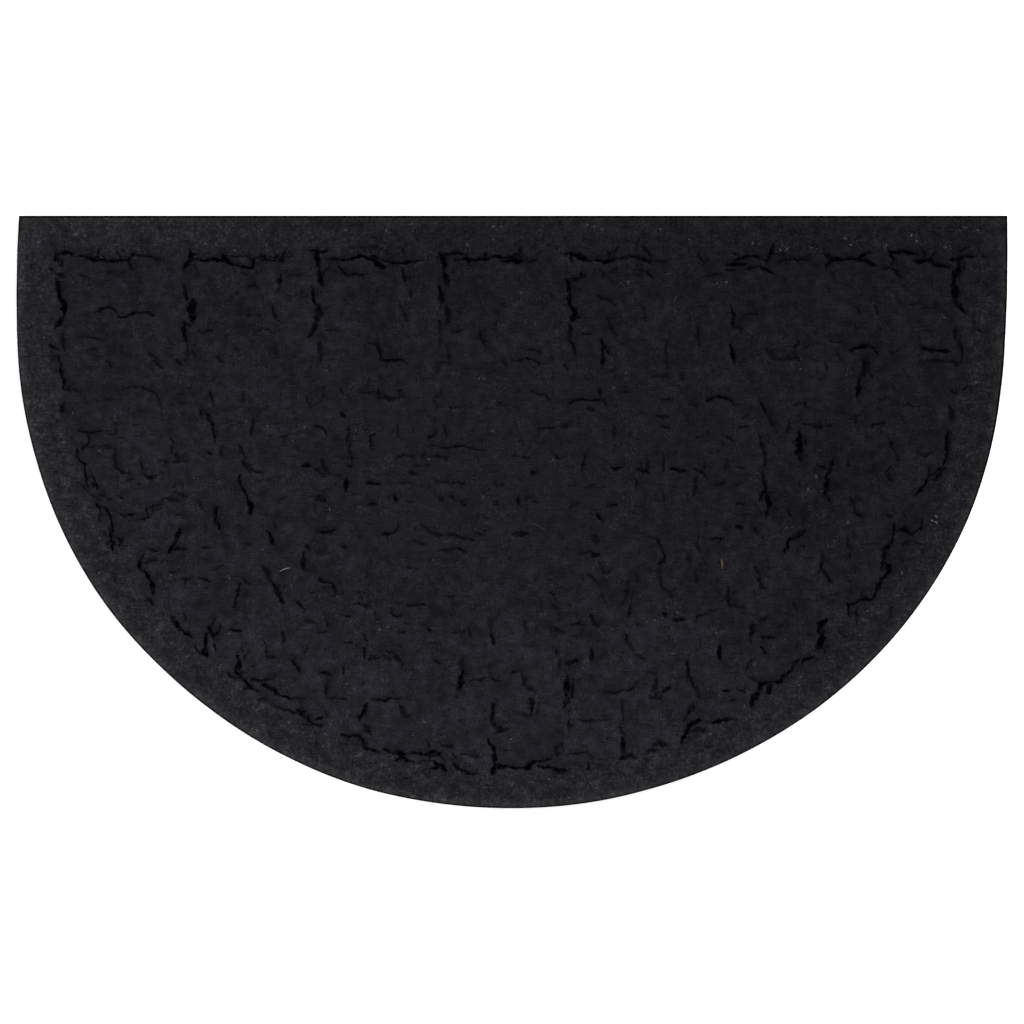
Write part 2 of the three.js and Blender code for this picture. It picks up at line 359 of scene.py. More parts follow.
def make_coir():
    """The bed of fibre with its lumpy cut side, and the bristles that end level with the rim."""
    bed_spacing = 6.0
    bed_height = 2.4
    lumps = 0.8
    outline = mat_outline(rim_width + piece_gap)
    count = len(outline)
    grid_x, grid_y = np.meshgrid(np.arange(-half_width, half_width, bed_spacing),
                                 np.arange(rubber_low.y, rubber_high.y, bed_spacing))
    grid_x = grid_x + np.where(np.arange(len(grid_x)) % 2, bed_spacing / 2, 0)[:, None]
    kept = inside_outline(grid_x, grid_y, rim_width + piece_gap + bed_spacing / 2)
    inner = np.stack((grid_x[kept], grid_y[kept]), axis=1)
    level = np.concatenate((outline, inner))
    lumpy = bed_height + lumps * soft_noise(level[:, 0], level[:, 1], 9.0, 5)
    points = np.concatenate((on_level(outline, coir_high.z), np.column_stack((level, lumpy))))
    lid = fill_outline(outline, np.empty((0, 2)))
    underside = fill_outline(outline, inner)[:, ::-1] + count
    faces = [*lid.tolist(), *strip(0, count, count).tolist(), *underside.tolist()]
    bed = make_piece("coir_bed", points, faces)
    sizes = {"Density": 80000.0, "Root radius": 0.45 * MM, "Tip radius": 0.3 * MM, "Lean": 0.4,
             "Tip gap": 0.6 * MM}
    return grow("coir_fibres", bed, bristle_tree(coir_material()), sizes)


coir = make_coir()
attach(coir, "root")
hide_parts("coir_pile")


# Rubber back
# One moulding of black rubber, 3 mm thick over the coir, with a solid rim all round it. The hot
# rubber settled over the fibres as it cured, and left ragged creases inside the rim's line.

back_thickness = 3.0
edge_rounding = 1.5
edge_steps = 4

# The top's lattice: the finest step between its points, and how many of those steps the coarser
# points stand apart near a crease or the edge, and elsewhere
fine = 0.75
near_step = 2
plain_step = 5

# A crease's trough goes this deep, and on past its ends. The rubber sags beside it, and the tanh of
# its whole depth keeps it from breaking through the back.
deepest_crease = 2.2
crease_end = 1.2
sag_depth = 1.0
sag_width = 6.0
most_depth = 2.8

# The creases as a whole lie this far to the left of their rows' places, and below them
shift_left = 0.2
shift_down = 0.4

# Chance wrinkles between them, the calm area in the middle with its reach across and up, and how
# far from the edge the margin is measured
wrinkle_count = 680
calm_x = 10
calm_y = 35
calm_across = 170
calm_up = 75
widest_margin = 30

# Creases. Each row gives where a crease starts, how far it runs across and up the
# mat, its bow to the left of that run, its width, and how dark and deep it is, from 0 to about 1.
# A crease's darkness is painted shade, set in its trough and beside it
creases_by_the_straight_edge = [
    # x, y, across, up, bow, width, depth
    (-346, 198, 1, -8, 0, 2.5, 1), (-343, 191, 2, -4, 0, 4.4, 1), (-345, 195, 11, 1, 0, 2.5, 1.1),
    (-328, 195, 12, -3, 0, 1.8, 0.9), (-319, 192, 11, -1, 0, 3.6, 1), (-309, 190, 18, 0, 0.5, 1.8, 0.9),
    (-291, 190, 4, 5, 0, 2.6, 0.9), (-287, 195, 21, -3, 0.5, 1.2, 0.7), (-315, 192, 3, 6, 0, 1.8, 0.8),
    (-291, 190, 4, -6, 0, 2.2, 0.7), (-300, 198, 3, -4, 0, 1.4, 0.5), (-349, 184, 2, -1, 0, 2.8, 0.6),
    (-344, 176, 4, -18, -1, 3.7, 1.1), (-339, 160, 0, -10, 1, 4.2, 1.1), (-339, 150, -6, -10, 1, 3.4, 1),
    (-344, 180, 4, -2, 0, 4, 0.7), (-350, 127, 6, -4, 0, 2.2, 0.8), (-340, 133, 1, -10, 0, 3.8, 0.65),
    (-356, 126, 1, -3, 0, 1.8, 0.5), (-349, 120, 3, -8, 0, 1, 0.35), (-343, 117, 2, -5, 0, 2.6, 0.8),
    (-328, 180, 7, -2, 0, 1.4, 0.6), (-315, 152, 13, 3, 0.5, 1.8, 0.8), (-302, 155, 3, -3, 0, 1.8, 0.8),
    (-297, 148, 12, 3, -1, 2.6, 0.95), (-285, 151, 13, -2, 0.5, 2.4, 0.75),
    (-327, 133, 17, -2, 0, 1.4, 0.35), (-320, 124, 4, 0, 0, 1.8, 0.4), (-312, 182, 20, -2, 1, 1.2, 0.3),
    (-276, 187, 3, -4, 0, 2, 0.4), (-275, 121, 9, -8, 0, 2.4, 0.4), (-296, 125, 1, -4, 0, 2.2, 0.4),
    (-254, 115, 4, -3, 0, 1.8, 0.8), (-243, 197, 0, -7, 0.5, 3.2, 1), (-243, 190, -5, -5, -0.5, 2.6, 1),
    (-243, 195, 4, 1, 0, 2.6, 0.8), (-243, 192, 26, -2, 0, 2.6, 1), (-219, 194, 4, -5, 0, 3.6, 1),
    (-218, 194, 20, -1, 0.5, 1.4, 0.7), (-216, 189, 19, -4, -1, 2.7, 1.1), (-197, 185, 1, 6, 0, 3, 0.9),
    (-198, 191, 20, 2, 1.5, 1.2, 0.8), (-178, 193, 7, 3, 0, 3, 1), (-188, 191, 12, -1, 0, 1.4, 0.8),
    (-176, 190, 4, 5, 0, 5.6, 1), (-172, 192, 7, 1, 0, 1.2, 0.5), (-197, 186, 4, -4, 0, 1.8, 0.5),
    (-240, 188, 3, -10, 0, 1.8, 0.4), (-248, 171, 1, -9, 0, 2.4, 0.9), (-242, 161, 0, -17, 0.5, 5.4, 1.1),
    (-248, 144, 4, -3, 0, 3, 0.8), (-248, 143, 3, -13, -2, 2.4, 1), (-245, 130, -2, -17, 0, 3, 0.4),
    (-243, 128, 3, -13, 0, 1.8, 0.3), (-236, 137, 10, 0, 0, 1.6, 0.6), (-210, 181, 10, -1, 0.5, 1.4, 0.3),
    (-176, 180, 0, -7, 0, 2, 0.8), (-176, 173, -2, -7, 0, 2, 0.4), (-170, 178, 10, 1, 1, 1, 0.5),
    (-181, 155, 2, -8, 0, 2.4, 0.6), (-178, 145, 5, -2, 0, 1.6, 0.4), (-200, 149, 5, 0, 0, 2.2, 0.35),
    (-194, 136, 5, 2, 0, 1.6, 0.5), (-188, 138, 7, -1, 0, 1.4, 0.4), (-151, 198, 11, 0, -0.5, 1.7, 0.9),
    (-147, 198, 1, -14, -1, 3.2, 1), (-146, 184, 2, -12, 0, 3.8, 1), (-145, 178, 5, 6, 0, 2, 0.7),
    (-140, 184, 7, -1, 0, 1.2, 0.3), (-151, 169, 2, -10, 0, 2.6, 1), (-147, 157, 0, -12, 1, 4.4, 0.85),
    (-148, 145, -5, -11, 1, 2.6, 0.9), (-145, 129, 0, -14, 0, 3.8, 0.6), (-140, 138, 7, 0, 0, 1.4, 0.4),
    (-138, 191, 13, 0.5, 0, 1.8, 0.9), (-131, 186, 7, -6, -1, 2, 0.9), (-235, 116, 5, -1, 0, 1.4, 0.3),
    (-222, 115, 3, -2, 0, 2.2, 0.4), (-180, 128, 2, -8, 0, 3.6, 0.3), (-125, 191, 21, 0, 2.5, 2.6, 1),
    (-107, 194, 6, -2, 0, 2.6, 0.8), (-106, 192, 8, -8, 0, 4.6, 1), (-100, 191, 30, 0, -2.5, 2.2, 1),
    (-124, 180, 14, 1, -0.7, 1.4, 0.9), (-83, 200, 2, -4, 0, 2.2, 0.7), (-95, 200, 1, -4, 0, 1.6, 0.4),
    (-83, 184, 2, -9, 0, 3, 0.7), (-77, 168, 0, -6, 0, 2.2, 0.5), (-84, 156, 4, -11, 0.5, 3, 0.4),
    (-54, 195, 2, -12, 1, 4.2, 1.1), (-52, 183, 4, -12, 0.5, 3.6, 0.9), (-52, 194, 16, 1, 1.5, 2, 0.9),
    (-42, 191, 24, 1, 0, 3.2, 1), (-21, 193, 2, 4, 0, 2.4, 0.8), (-18, 193, 20, 0, 0, 2, 1),
    (-6, 190, 14, 1, -0.5, 4.2, 1), (-55, 170, 1, -13, 1, 3.3, 1), (-49, 156, 0, -13, 1.5, 3.6, 0.8),
    (-55, 144, 1, -5, 0, 2.6, 0.7), (-55, 138, 0, -10, 0, 2.2, 0.4), (-40, 151, 1, -1, 0, 1.6, 0.4),
    (-45, 137, 7, 0, 0, 1.6, 0.7), (-24, 138, 4, -12, -1.5, 2, 0.6), (-24, 138, 4, 0, 0, 1.8, 0.5),
    (-108, 128, 7, 0, 0, 2.2, 0.4), (-101, 128, 2, -12, 0, 3.6, 0.7), (-97, 115, 15, 1, 0, 2.2, 0.9),
    (-82, 116, 3, -3, 0, 2, 0.8), (-48, 128, -1, -9, 0, 2.2, 0.3), (-102, 183, 7, -4, 0, 1.8, 0.3),
    (0, 193, 6, 4, -0.5, 2.4, 0.9), (6, 200, 1, -5, 0, 2, 0.7), (8, 190, 10, 1, 0, 0.9, 0.6),
    (19, 195, 3, 3, 0, 1.6, 0.4), (41, 195, 7, 0, 0.5, 2.4, 1), (48, 195, 11, -5, 0, 3.1, 1.1),
    (44, 194, 1, -4, 0, 3.4, 0.9), (59, 190, 12, -1, 1, 2.2, 1), (71, 189, 8, 3, 0, 2.8, 1),
    (73, 197, 2, -6, 0, 2.4, 0.6), (74, 196, 6, 4, 0, 2, 0.5), (79, 192, 12, 1, 0, 2.8, 0.75),
    (91, 193, 12, -4, 1.5, 2.6, 1), (103, 190, 17, 0, 0, 1.6, 0.4), (99, 201, 5, -7, 0, 3, 0.75),
    (52, 181, 0, -3, 0, 2.6, 0.8), (54, 178, -6, -2, 0.5, 2.6, 0.8), (43, 175, 0, -18, 1, 3.3, 1),
    (43, 157, 5, -4, 0, 3, 0.9), (48, 154, -2, -10, 0, 5.6, 1), (44, 141, -1, -11, 0, 2.6, 1),
    (44, 129, 4, -7, 1.5, 3.2, 0.8), (67, 182, 2, -4, 0, 1.6, 0.6), (75, 182, 4, 2, 0, 1.6, 0.4),
    (86, 179, 12, 0, 0.7, 1.4, 0.4), (95, 187, 1, -4, 0, 2, 0.5), (96, 183, 10, -5, 1, 2, 0.7),
    (65, 163, 14, -5, -0.5, 1.6, 0.5), (96, 159, 5, -12, 2, 2, 0.3), (74, 144, 5, -9, -1, 2.6, 0.45),
    (52, 135, 7, 0, 0.7, 1.6, 0.7), (68, 131, 0, -19, 1, 2.6, 0.9), (70, 125, 4, -4, 0, 3.4, 0.85),
    (13, 123, 8, -2, 1, 1.8, 0.6), (2, 115, 14, 0, 1, 1.5, 0.8), (16, 115, 4, -3, 0, 1.9, 0.8),
    (118, 130, -2, -15, -1.5, 3, 0.3), (83, 128, 5, -1, 0, 1.4, 0.3), (141, 194, 4, -5, 0, 2.2, 0.7),
    (145, 189, 3, 3, 0, 2, 0.6), (163, 188, 15, 0, 0, 2.2, 1), (168, 190, 14, 4, 1, 2, 1),
    (182, 194, 11, -3, 0.7, 2, 1), (193, 190, 4, 11, -1, 2.8, 1), (163, 183, 6, 0, 0, 3.2, 0.75),
    (147, 178, 11, 2, 0.5, 2, 0.6), (177, 184, 10, 1, 0.4, 1.7, 0.8), (187, 185, 10, -4, 0.7, 2.6, 0.95),
    (152, 196, 5, -1, 0, 1.4, 0.6), (166, 196, 4, -1, 0, 1.4, 0.6), (197, 195, 9, 0, 0, 1.1, 0.45),
    (202, 189, 6, 2, 0, 0.8, 0.4), (208, 191, 16, 0, 0, 1.2, 0.8), (237, 195, 6, -3, 0, 4, 1),
    (238, 187, 5, 4, 0, 3.8, 1), (242, 192, 20, 1, -0.5, 2, 1), (262, 192, 11, 5, 1, 3, 1),
    (262, 192, 12, -4, 0.7, 3.2, 1), (165, 157, 2, -7, 0, 1.1, 0.6), (167, 150, 0, -8, 0.5, 2.8, 1),
    (171, 141, 2, -5, 0, 1.6, 0.4), (177, 149, 7, 1, 0, 1.6, 0.6), (190, 164, 2, -3, 0, 2.4, 0.35),
    (140, 140, 2, -15, 0, 2.6, 0.5), (166, 127, 2, -14, 0, 4, 1.1), (218, 130, -4, -6, 0, 2.2, 0.6),
    (225, 128, -5, -5, 0, 1.6, 0.3), (198, 116, 14, 0, 0, 1.7, 0.6), (243, 129, 7, 0, 0, 1.5, 0.7),
    (245, 121, 3, -6, 0.5, 1.8, 0.4), (285, 198, 2, -5, 0, 3.2, 1), (287, 197, 17, -1, 0.5, 2.3, 1),
    (280, 185, 7, 1, 0, 1.8, 0.7), (287, 186, 6, -7, 0, 2, 0.7), (288, 190, -1, -5, 0, 2.4, 0.6),
    (304, 191, 14, 0, -1, 3.4, 1), (317, 192, 3, 4, 0, 2.6, 0.7), (318, 190, 3, -3, 0, 2, 0.8),
    (321, 187, 9, -1, 0, 1.9, 0.8), (310, 199, 3, -4, 0, 2, 0.5), (332, 191, 9, 1, 0, 3, 0.9),
    (341, 192, 8, 2, 0.4, 2.4, 0.9), (340, 198, 5, 2, 0, 1.8, 0.6), (356, 194, 1, -1, 0, 2.2, 0.7),
    (338, 189, -3, -11, 0.5, 4.5, 1), (335, 178, 0, -18, -0.3, 4.8, 1), (335, 160, 7, -9, 0, 3.2, 1),
    (341, 189, 0, -6, 0, 2, 0.5), (301, 158, 8, 0, 0, 1.6, 0.35), (310, 154, 10, 0, 0.7, 1, 0.4),
    (261, 156, 2, -6, 0, 2.2, 0.6), (275, 155, 1, -4, 0, 2.6, 0.6), (335, 140, 1, -9, -0.5, 2.2, 0.6),
    (339, 130, 1, -17, 1, 2.2, 0.6), (256, 122, 15, 4, 1, 3.2, 1), (271, 126, 6, -5, 0, 2.4, 0.8),
    (284, 122, 8, 0, 0, 1, 0.5), (265, 116, 5, -4, 0, 3.2, 0.5), (309, 124, 22, -2, -0.7, 3.4, 0.9),
    (310, 115, 27, -1, -0.5, 2.2, 0.4), (352, 138, 2, -1, 0, 2, 0.5), (242.5, 181, 0.5, -5, 0, 3, 0.45),
    (239, 172, 0.5, -5, 0, 3, 0.3), (-121, 200, 23, -0.5, 0.8, 2, 0.3), (-199, 170.5, 5, 0.5, 0, 1.6, 0.45),
    (-8, 156, 7, 0, 0, 2.4, 0.35),
]
creases_above_the_middle = [
    # x, y, across, up, bow, width, depth
    (-342, 110, 3, -10, 0, 2.8, 1), (-339, 101, 0, -7, 0, 3, 1), (-339, 94, 5, -2, 0, 2, 0.8),
    (-332, 93, 6, -2, 0.4, 1.3, 0.55), (-339, 82, -2, -5, 0, 2.6, 0.7), (-345, 70, 4, 0, 0, 1.4, 0.4),
    (-327, 62, 16, -1, -0.5, 1.5, 0.8), (-320, 60, -1, -8, 0, 2, 0.7), (-321, 52, -4, -5, -0.5, 2.2, 0.8),
    (-329, 48, 1, -7, -0.5, 2.6, 1), (-328, 41, 4, -5, 0, 2.6, 1), (-324, 37, 3, -17, 0.5, 1.3, 0.9),
    (-320, 49, 16, 0, 1, 1.2, 0.5), (-300, 48, 0, -13, 0, 2.4, 0.5), (-300, 35, 9, -5, -1.5, 2.2, 0.9),
    (-317, 26, 3, -7, 0, 2.6, 0.9), (-326, 21, 11, -8, -0.7, 1.1, 0.5), (-310, 13, 4, -2, 0, 1.8, 0.6),
    (-314, 6, 2, -6, 0, 2.2, 0.9), (-307, 3, 3, -5, 0, 2.2, 0.6), (-281, 38, 1, -5, 0, 2.2, 0.7),
    (-277, 28, 8, 0, -1, 2.6, 0.9), (-291, 25, 4, 0, 0, 1.6, 0.5), (-297, 12, 2, -1, 0, 2.6, 0.9),
    (-291, 94, 11, 1, 0, 1.8, 0.6), (-280, 95, 12, -8, 0.5, 2.2, 0.6), (-267, 86, 2, -8, 0, 2.2, 0.4),
    (-258, 57, 1, -12, 0, 2.6, 0.5), (-254, 44, 2, -6, 0, 3.8, 0.8), (-267, 39, 7, 0, 0, 1.5, 0.5),
    (-309, 87, 6, -2, 0, 1.8, 0.4), (-300, 68, 0, -6, 0, 3, 0.3), (-272, 4, 7, 2, 0, 2.2, 0.6),
    (-277, 3, 2, -5, 0, 2.8, 0.6), (-263, 11, 10, -2, 0, 2.2, 0.6), (-255, 15, 9, -4, 0, 1.8, 0.4),
    (-255, 38, 9, 1, 0, 2, 0.6), (-229, 92, 3, -11, 0, 3, 0.65), (-231, 76, 6, -16, 0.5, 2.8, 1),
    (-225, 60, 0, -6, 0, 2.4, 0.8), (-226, 80, -4, -3, 0, 1.5, 0.4), (-236, 77, 2, -5, 0, 2, 0.6),
    (-230, 46, 2, -1, 0, 2.6, 0.9), (-196, 72, -1, -12, 0.7, 3.6, 0.75), (-196, 72, 5, 1, 0, 1.7, 0.35),
    (-204, 89, 1, -4, 0, 2.2, 0.4), (-206, 51, 5, -10, 0.5, 2.4, 0.4), (-200, 36, 5, -5, 0, 2.2, 0.4),
    (-195, 31, 7, -1, 0, 1.8, 0.5), (-206, 28, 1, -8, -0.5, 2.2, 0.9), (-205, 20, 4, -7, 0, 2.3, 0.9),
    (-200, 11, 3, -12, 0.7, 3, 1), (-155, 83, 3, -3, 0, 2.2, 0.5), (-152, 80, 9, 5, -0.5, 1.8, 0.4),
    (-143, 85, 1, 10, 0, 1.8, 0.3), (-131, 94, 3, -5, 0, 3.6, 0.35), (-129, 75, 2, -2, 0, 3.2, 0.8),
    (-151, 65, 5, 0, 0, 1.6, 0.6), (-146, 65, 5, -6, 0.5, 2.6, 0.8), (-174, 58, 3, 0, 0, 2.8, 0.6),
    (-163, 59, 2, 1, 0, 1.8, 0.5), (-158, 35, 5, 0, 0, 2.6, 0.9), (-144, 41, 0, -6, 0, 2.8, 0.6),
    (-144, 36, 3, -5, 0, 3.2, 0.5), (-149, 33, 5, -3, 0, 2.2, 0.6), (-144, 30, 14, -2, 0, 2, 0.45),
    (-163, 55, 0, -9, 0, 1.7, 0.35), (-133, 42, 16, -1, 0, 1.3, 0.35), (-149, 10, 4, 0, 1, 3.2, 0.9),
    (-143, 12, 2, -3, 0, 1.4, 0.9), (-149, 8, 0, -7, 0, 1.6, 0.35), (-175, 10, 4, 1, 0, 1.5, 0.5),
    (-224, 3, 1, -4, 0, 2.6, 0.8), (-236, 8, 2, -6, 0, 2.2, 0.4), (-252, 83, 5, 0, 0, 1.5, 0.4),
    (-252, 90, 4, 0, 0, 1.5, 0.4), (-124, 65, -1, -12, 0, 2.4, 0.7), (-125, 25, -1, -8, 0, 3.2, 1),
    (-194, 23, 10, 1, 0, 1.4, 0.35), (-124, 90, 1, -6, 0, 2.6, 0.3), (-115, 91, 13, 0, 0, 1.5, 0.5),
    (-101, 94, 0, -5, 0, 2.6, 0.6), (-100, 87, 20, -1, 0.4, 2.7, 0.6), (-84, 92, 1, -4, 0, 2.6, 0.4),
    (-53, 92, -4, -5, 0, 2.6, 0.6), (-60, 84, 3, -4, 0, 3, 0.4), (-48, 79, 7, 0, 0, 1.4, 0.6),
    (-107, 58, 0, -9, 0, 1.8, 0.6), (-107, 58, 3, 0, 0, 2.2, 0.8), (-86, 66, -1, -7, 0, 1.8, 0.5),
    (-87, 59, 2, -3, 0, 1.8, 0.5), (-63, 57, 4, 1, 0, 2.8, 0.9), (-59, 58, 1, 3, 0, 2.4, 0.7),
    (-51, 65, 1, -8, 0, 2.4, 0.45), (-60, 50, 6, 0, 0, 1.8, 0.5), (-52, 49, 20, 0, 0.8, 1.3, 1),
    (-32, 49, 10, -2, -0.5, 1.4, 0.6), (-87, 40, 6, 3, 0, 1.6, 0.6), (-81, 43, 14, 0, 0, 1.1, 0.4),
    (-67, 43, 1, 3, 0, 1.6, 0.6), (-60, 42, 9, -2, 0, 1.8, 0.6), (-51, 42, 1, -2, 0, 3, 0.8),
    (-78, 30, 5, -1, 0, 2.2, 0.7), (-73, 36, 10, 0, 0, 1.4, 0.4), (-109, 22, 9, -1, 0, 2.2, 0.9),
    (-85, 23, 8, -1, 0, 1.6, 0.4), (-58, 23, 8, 0, 0, 1.4, 0.35), (-48, 23, 11, -1, -0.4, 1.1, 0.7),
    (-88, 13, 0, -5, 0, 2.9, 1), (-78, 8, 2, 0, 0, 2.2, 0.6), (-107, 7, 4, -1, 0, 3, 0.7),
    (-54, 12, 1, -3, 0, 4.5, 0.35), (-47, 12, 3, -2, 0, 2.6, 0.6), (-38, 8, 3, -2, 0, 2.6, 0.9),
    (-12, 8, 1, -2, 0, 3, 0.7), (-14, 24, 2, -3, 0, 2, 0.5), (-12, 21, 6, 0, 0, 1.6, 0.5),
    (-10, 82, 4, -1, 0, 2.8, 0.4), (-8, 115, 4, -4, 0, 2.4, 0.4), (-124, 36, 2, -1, 0, 2.6, 0.6),
    (40, 112, 1, -2, 0, 2.2, 0.7), (15, 92, 4, -1, 0, 2.4, 0.4), (19, 90, 9, -4, 0.5, 2.2, 0.5),
    (44, 83, 14, 2, 1.5, 2.4, 0.8), (60, 85, 11, -3, 2, 2.4, 0.9), (66, 92, 1, -4, 0, 4, 0.85),
    (58, 78, 4, 0, 0, 2, 0.6), (84, 91, 3, 1, 0, 1.7, 0.6), (111, 87, 8, -2, 0, 1.6, 0.4),
    (110, 72, 8, 0, 0, 2.1, 0.7), (114, 65, 5, -1, 0, 1.9, 0.6), (20, 63, 10, 1, 0.4, 1.1, 0.7),
    (38, 65, 4, 0, 0, 2.2, 0.9), (77, 66, 0, -8, 0.4, 3, 0.5), (88, 59, 9, -4, 0, 1.7, 0.35),
    (55, 44, -1, -10, 0.4, 2.4, 0.5), (8, 42, 4, 0, 0, 1.5, 0.6), (34, 42, 1, -1, 0, 2.2, 0.6),
    (15, 30, 2, -1, 0, 3, 0.9), (5, 12, 0, -5, 0, 2.8, 0.9), (12, 10, 6, 4, 0, 1.5, 0.4),
    (16, 8, 4, 0, 0, 2, 0.4), (75, 34, 9, 0, -0.4, 1.9, 1), (96, 33, 7, -3, 0, 3.2, 0.9),
    (97, 38, 1, -4, 0, 2.6, 0.6), (102, 40, 0, -8, 0, 2.2, 0.5), (94, 23, 0, -3, 0, 2.4, 0.7),
    (116, 42, -1, -11, 0, 1.7, 0.6), (121, 34, 10, -2, -0.5, 3, 1), (72, 5, 7, 1, 0, 2, 0.8),
    (45, 4, 4, 2, 0, 3, 0.6), (114, 13, 1, -6, 0, 2.4, 0.4), (57, 20, 5, 0, 0, 1.6, 0.4),
    (148, 84, 5, 3, 0, 3.2, 0.9), (152, 87, 11, 0, 0, 2.6, 1), (163, 87, 5, -5, 0.5, 2.3, 0.6),
    (134, 83, 5, -2, 0, 1.8, 0.5), (188, 84, 4, -10, -0.4, 2, 0.8), (192, 74, 6, -10, 0.5, 2.8, 0.5),
    (187, 58, 3, -8, 0, 2.2, 0.7), (191, 49, 0, -14, 0.7, 2.2, 0.6), (191, 31, 1, -13, -0.7, 2.8, 0.75),
    (192, 19, -3, -9, 0, 2.6, 0.9), (194, 12, 1, -8, 0, 4.2, 1), (171, 64, 7, 1, 0, 1.9, 0.7),
    (175, 72, 3, 1, 0, 1.7, 0.6), (161, 58, 5, -3, 0, 1.8, 0.6), (140, 57, 5, 0, 0, 1.5, 0.5),
    (162, 40, -1, -9, 0, 1.6, 0.5), (170, 35, 5, -1, 0, 1.7, 0.6), (138, 33, 6, -3, -0.4, 2.3, 0.8),
    (144, 30, 3, -3, 0, 2.2, 0.6), (146, 38, -1, -4, 0, 2.2, 0.4), (140, 27, -3, -14, 0.5, 2.3, 0.6),
    (155, 21, 6, 1, 0, 1.8, 0.5), (170, 21, 4, 1, 0, 2, 0.4), (170, 7, 5, -1, 0, 2.3, 0.8),
    (209, 69, 0, -7, 0, 2.4, 0.4), (213, 81, 6, 1, 0, 2, 0.5), (222, 84, 0, -4, 0, 2.2, 0.6),
    (222, 66, 20, 0, -1, 1.4, 0.6), (217, 60, 1, -20, 0, 6, 1.1), (222, 56, 0, -6, 0, 2.4, 0.7),
    (232, 35, 5, -2, 0, 2.2, 0.6), (243, 40, -2, -7, 0, 2.2, 0.7), (242, 33, -4, -4, 0, 3, 0.9),
    (238, 29, -1, -15, 0.4, 2.8, 1), (238, 14, 3, -6, 0, 2.2, 0.5), (237, 112, 2, -5, 0, 2.2, 0.6),
    (267, 114, -1, -9, 0.4, 3.6, 0.8), (266, 105, -3, -4, 0, 3.2, 0.9), (270, 112, 1, -10, 0, 2.2, 0.4),
    (263, 101, -2, -13, 1, 3.6, 1), (272, 66, 9, 1, 0, 1.8, 0.7), (285, 57, 5, -14, -0.7, 1.6, 0.5),
    (292, 42, 0, -7, 0, 2.4, 0.4), (287, 34, 0, -10, -3, 2.2, 0.6), (297, 81, 12, -1, 0.3, 1.1, 0.4),
    (289, 94, 1, -4, 0, 2.2, 0.35), (333, 114, 3, -3, 0, 3.4, 0.8), (332, 92, 4, -2, 0, 2.3, 0.5),
    (342, 93, 3, 2, 0, 2, 0.6), (331, 80, 2, -9, 1, 3.2, 0.6), (330, 60, 0, -17, 0, 3, 1),
    (330, 43, -4, -7, 0, 1.6, 0.8), (327, 33, -5, -1, 0, 3.2, 0.9), (326, 32, -6, -8, -0.4, 2.2, 0.9),
    (321, 30, -5, -4, 0, 1.6, 0.6), (316, 33, -1, -8, 0, 2, 0.7), (315, 25, -10, -12, 0.4, 3, 1.1),
    (306, 45, 12, 0, -1, 1.7, 0.6), (256, 12, 5, -12, 0.5, 1.9, 0.5), (254, 39, 1, -5, 0, 3, 0.45),
    (-49.3, 126, 1.3, -12.5, 0.6, 2.5, 0.45), (-48, 113, -8, -1, 0, 2.5, 0.45),
    (-55, 113, -2, -8, 0, 3, 0.35), (-271, 114.5, 6, -5, 0, 2.4, 0.7), (-220, 50, 0.5, -7, 0, 4, 0.4),
    (-226, 37, 0.5, -3, 0, 2, 0.4), (-123.5, 55, 2, -17, 0.5, 2.6, 0.5), (192, 123, 8, -7, 0, 4, 0.35),
    (-178.5, 126, 1.5, -9, 0, 3.5, 0.35), (212, 121, 5, -6, 0, 3, 0.4), (208, 116.5, 6, 4.5, 0, 3, 0.35),
    (-305, 115, 1, -5, 0, 2.2, 0.5), (116.5, 121, 0.5, -18, 0.5, 2.6, 0.3),
    (108, 103.5, 10, -0.5, 0, 1.8, 0.3), (128, 106, 0.5, -5, 0, 2.4, 0.4), (259, 71.5, 6, 4, 0, 2, 0.4),
    (259.5, 73, 0.5, -5.5, 0, 2.6, 0.5), (249.5, 75, 8.5, -2, 0, 1.8, 0.3), (-204, 38, 6, -7, 0, 3, 0.35),
]
